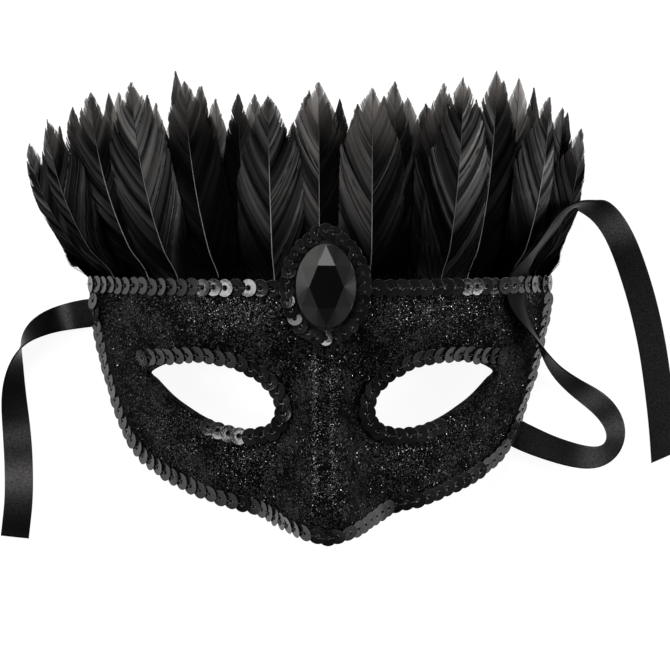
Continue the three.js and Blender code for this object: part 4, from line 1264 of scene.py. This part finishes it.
def shaft_tube(feather, painted_highlight):
    s = np.linspace(0.0, SHAFT["to"], SHAFT["points"])
    spine = feather.placed(s, 0.0, SHAFT["lift"])
    radius = mix(SHAFT["thick"], SHAFT["fine"], s ** 0.8)
    points, faces = tube(spine, radius, sides=SHAFT["sides"], squash=SHAFT["squash"])
    # Painted highlight along the lower shaft, fading out towards the tip.
    painted_tone = np.repeat(painted_highlight * (1 - step(s, *SHAFT["darkens"])), SHAFT["sides"])
    return points, faces, {"painted_tone": painted_tone, "tip": np.zeros(len(points))}


def make_feather(index, barbs, shaft):
    rng = np.random.default_rng(500 + index)
    feather = Feather(index, rng)
    painted_vane_sheen = PAINTED_VANE_SHEEN.get(index, rng.uniform(0.0, 0.5, 2))
    vanes = {hand: Vane(feather, rng, hand, painted_vane_sheen[max(hand, 0)]) for hand in (-1, 1)}
    parts = [barb_strips(vanes[-1], rng), barb_strips(vanes[1], rng), web_sheet(feather, vanes),
             shaft_tube(feather, PAINTED_SHAFT_HIGHLIGHTS.get(index, SHAFT["dark"]))]
    shaft_start = sum(len(p) for p, _, _ in parts[:-1])
    points, faces = joined([(p, f) for p, f, _ in parts])
    name = f"feather_{index + 1:02d}"
    attributes = {key: np.concatenate([a[key] for _, _, a in parts]) for key in ("painted_tone", "tip")}
    obj = mesh_object(name + "_plume", points, [faces], attributes=attributes)
    dress(obj, "feather", barbs, shaft, replaced=name)
    obj.data.polygons.foreach_set("material_index", (faces[:, 0] >= shaft_start).astype(np.int32))


# All of it

make_camera()
ribbon_satin = satin()
make_ribbon("left_ribbon_satin", LEFT_RIBBON, ribbon_satin)
make_ribbon("right_ribbon_satin", RIGHT_RIBBON, ribbon_satin, slant=0.35)
make_studio()

cloth = glitter_fabric()
make_shell(cloth)
make_eye_piping(cloth)
make_glitter(glitter_flake())

film, thread = sequin_film(), thread_paint()
top_start, top_end = RING["half_width"] + TOP_STRAND["from_ring"], HALF_WIDTH - TOP_STRAND["from_end"]
for side_name, low_x, high_x, seed in (("left", -top_end, -top_start, 3), ("right", top_start, top_end, 7)):
    plan = np.stack([np.linspace(low_x, high_x, 300), np.zeros(300)], -1)
    frames = strand_frames(height, plan, SEQUIN_PITCH, raise_by=over_ribbon)
    outward = RIGHT_END["turn"] * step(frames[0][:, 0], *RIGHT_END["x"])
    make_strand(side_name + "_top_discs", side_name + "_top_sequins", frames, film, thread, seed,
                shingle=SHINGLE - outward)
make_strand("rim_discs", "rim_sequins", strand_frames(height, rim_plan(), SEQUIN_PITCH), film, thread, 21)
for side_name, side in (("left", -1), ("right", 1)):
    make_strand(side_name + "_eye_discs", side_name + "_eye_sequins",
                strand_frames(height, eye_plan(side), SEQUIN_PITCH), film, thread, 31 + side)
make_strand("jewel_ring_discs", "jewel_sequins",
            strand_frames(lambda x, y: np.full(np.shape(x), BACKING_TOP), ring_plan(),
                          RING_SEQUINS["pitch"], closed=True),
            film, thread, 41, RING_SEQUINS["radius"], RING_SEQUINS["shingle"], RING_SEQUINS["jitter"])
make_backing(felt())
make_jewel(jewel_acrylic())

plume, quill = feather_barbs(), feather_shaft()
for i in range(len(FEATHERS)):
    make_feather(i, plume, quill)
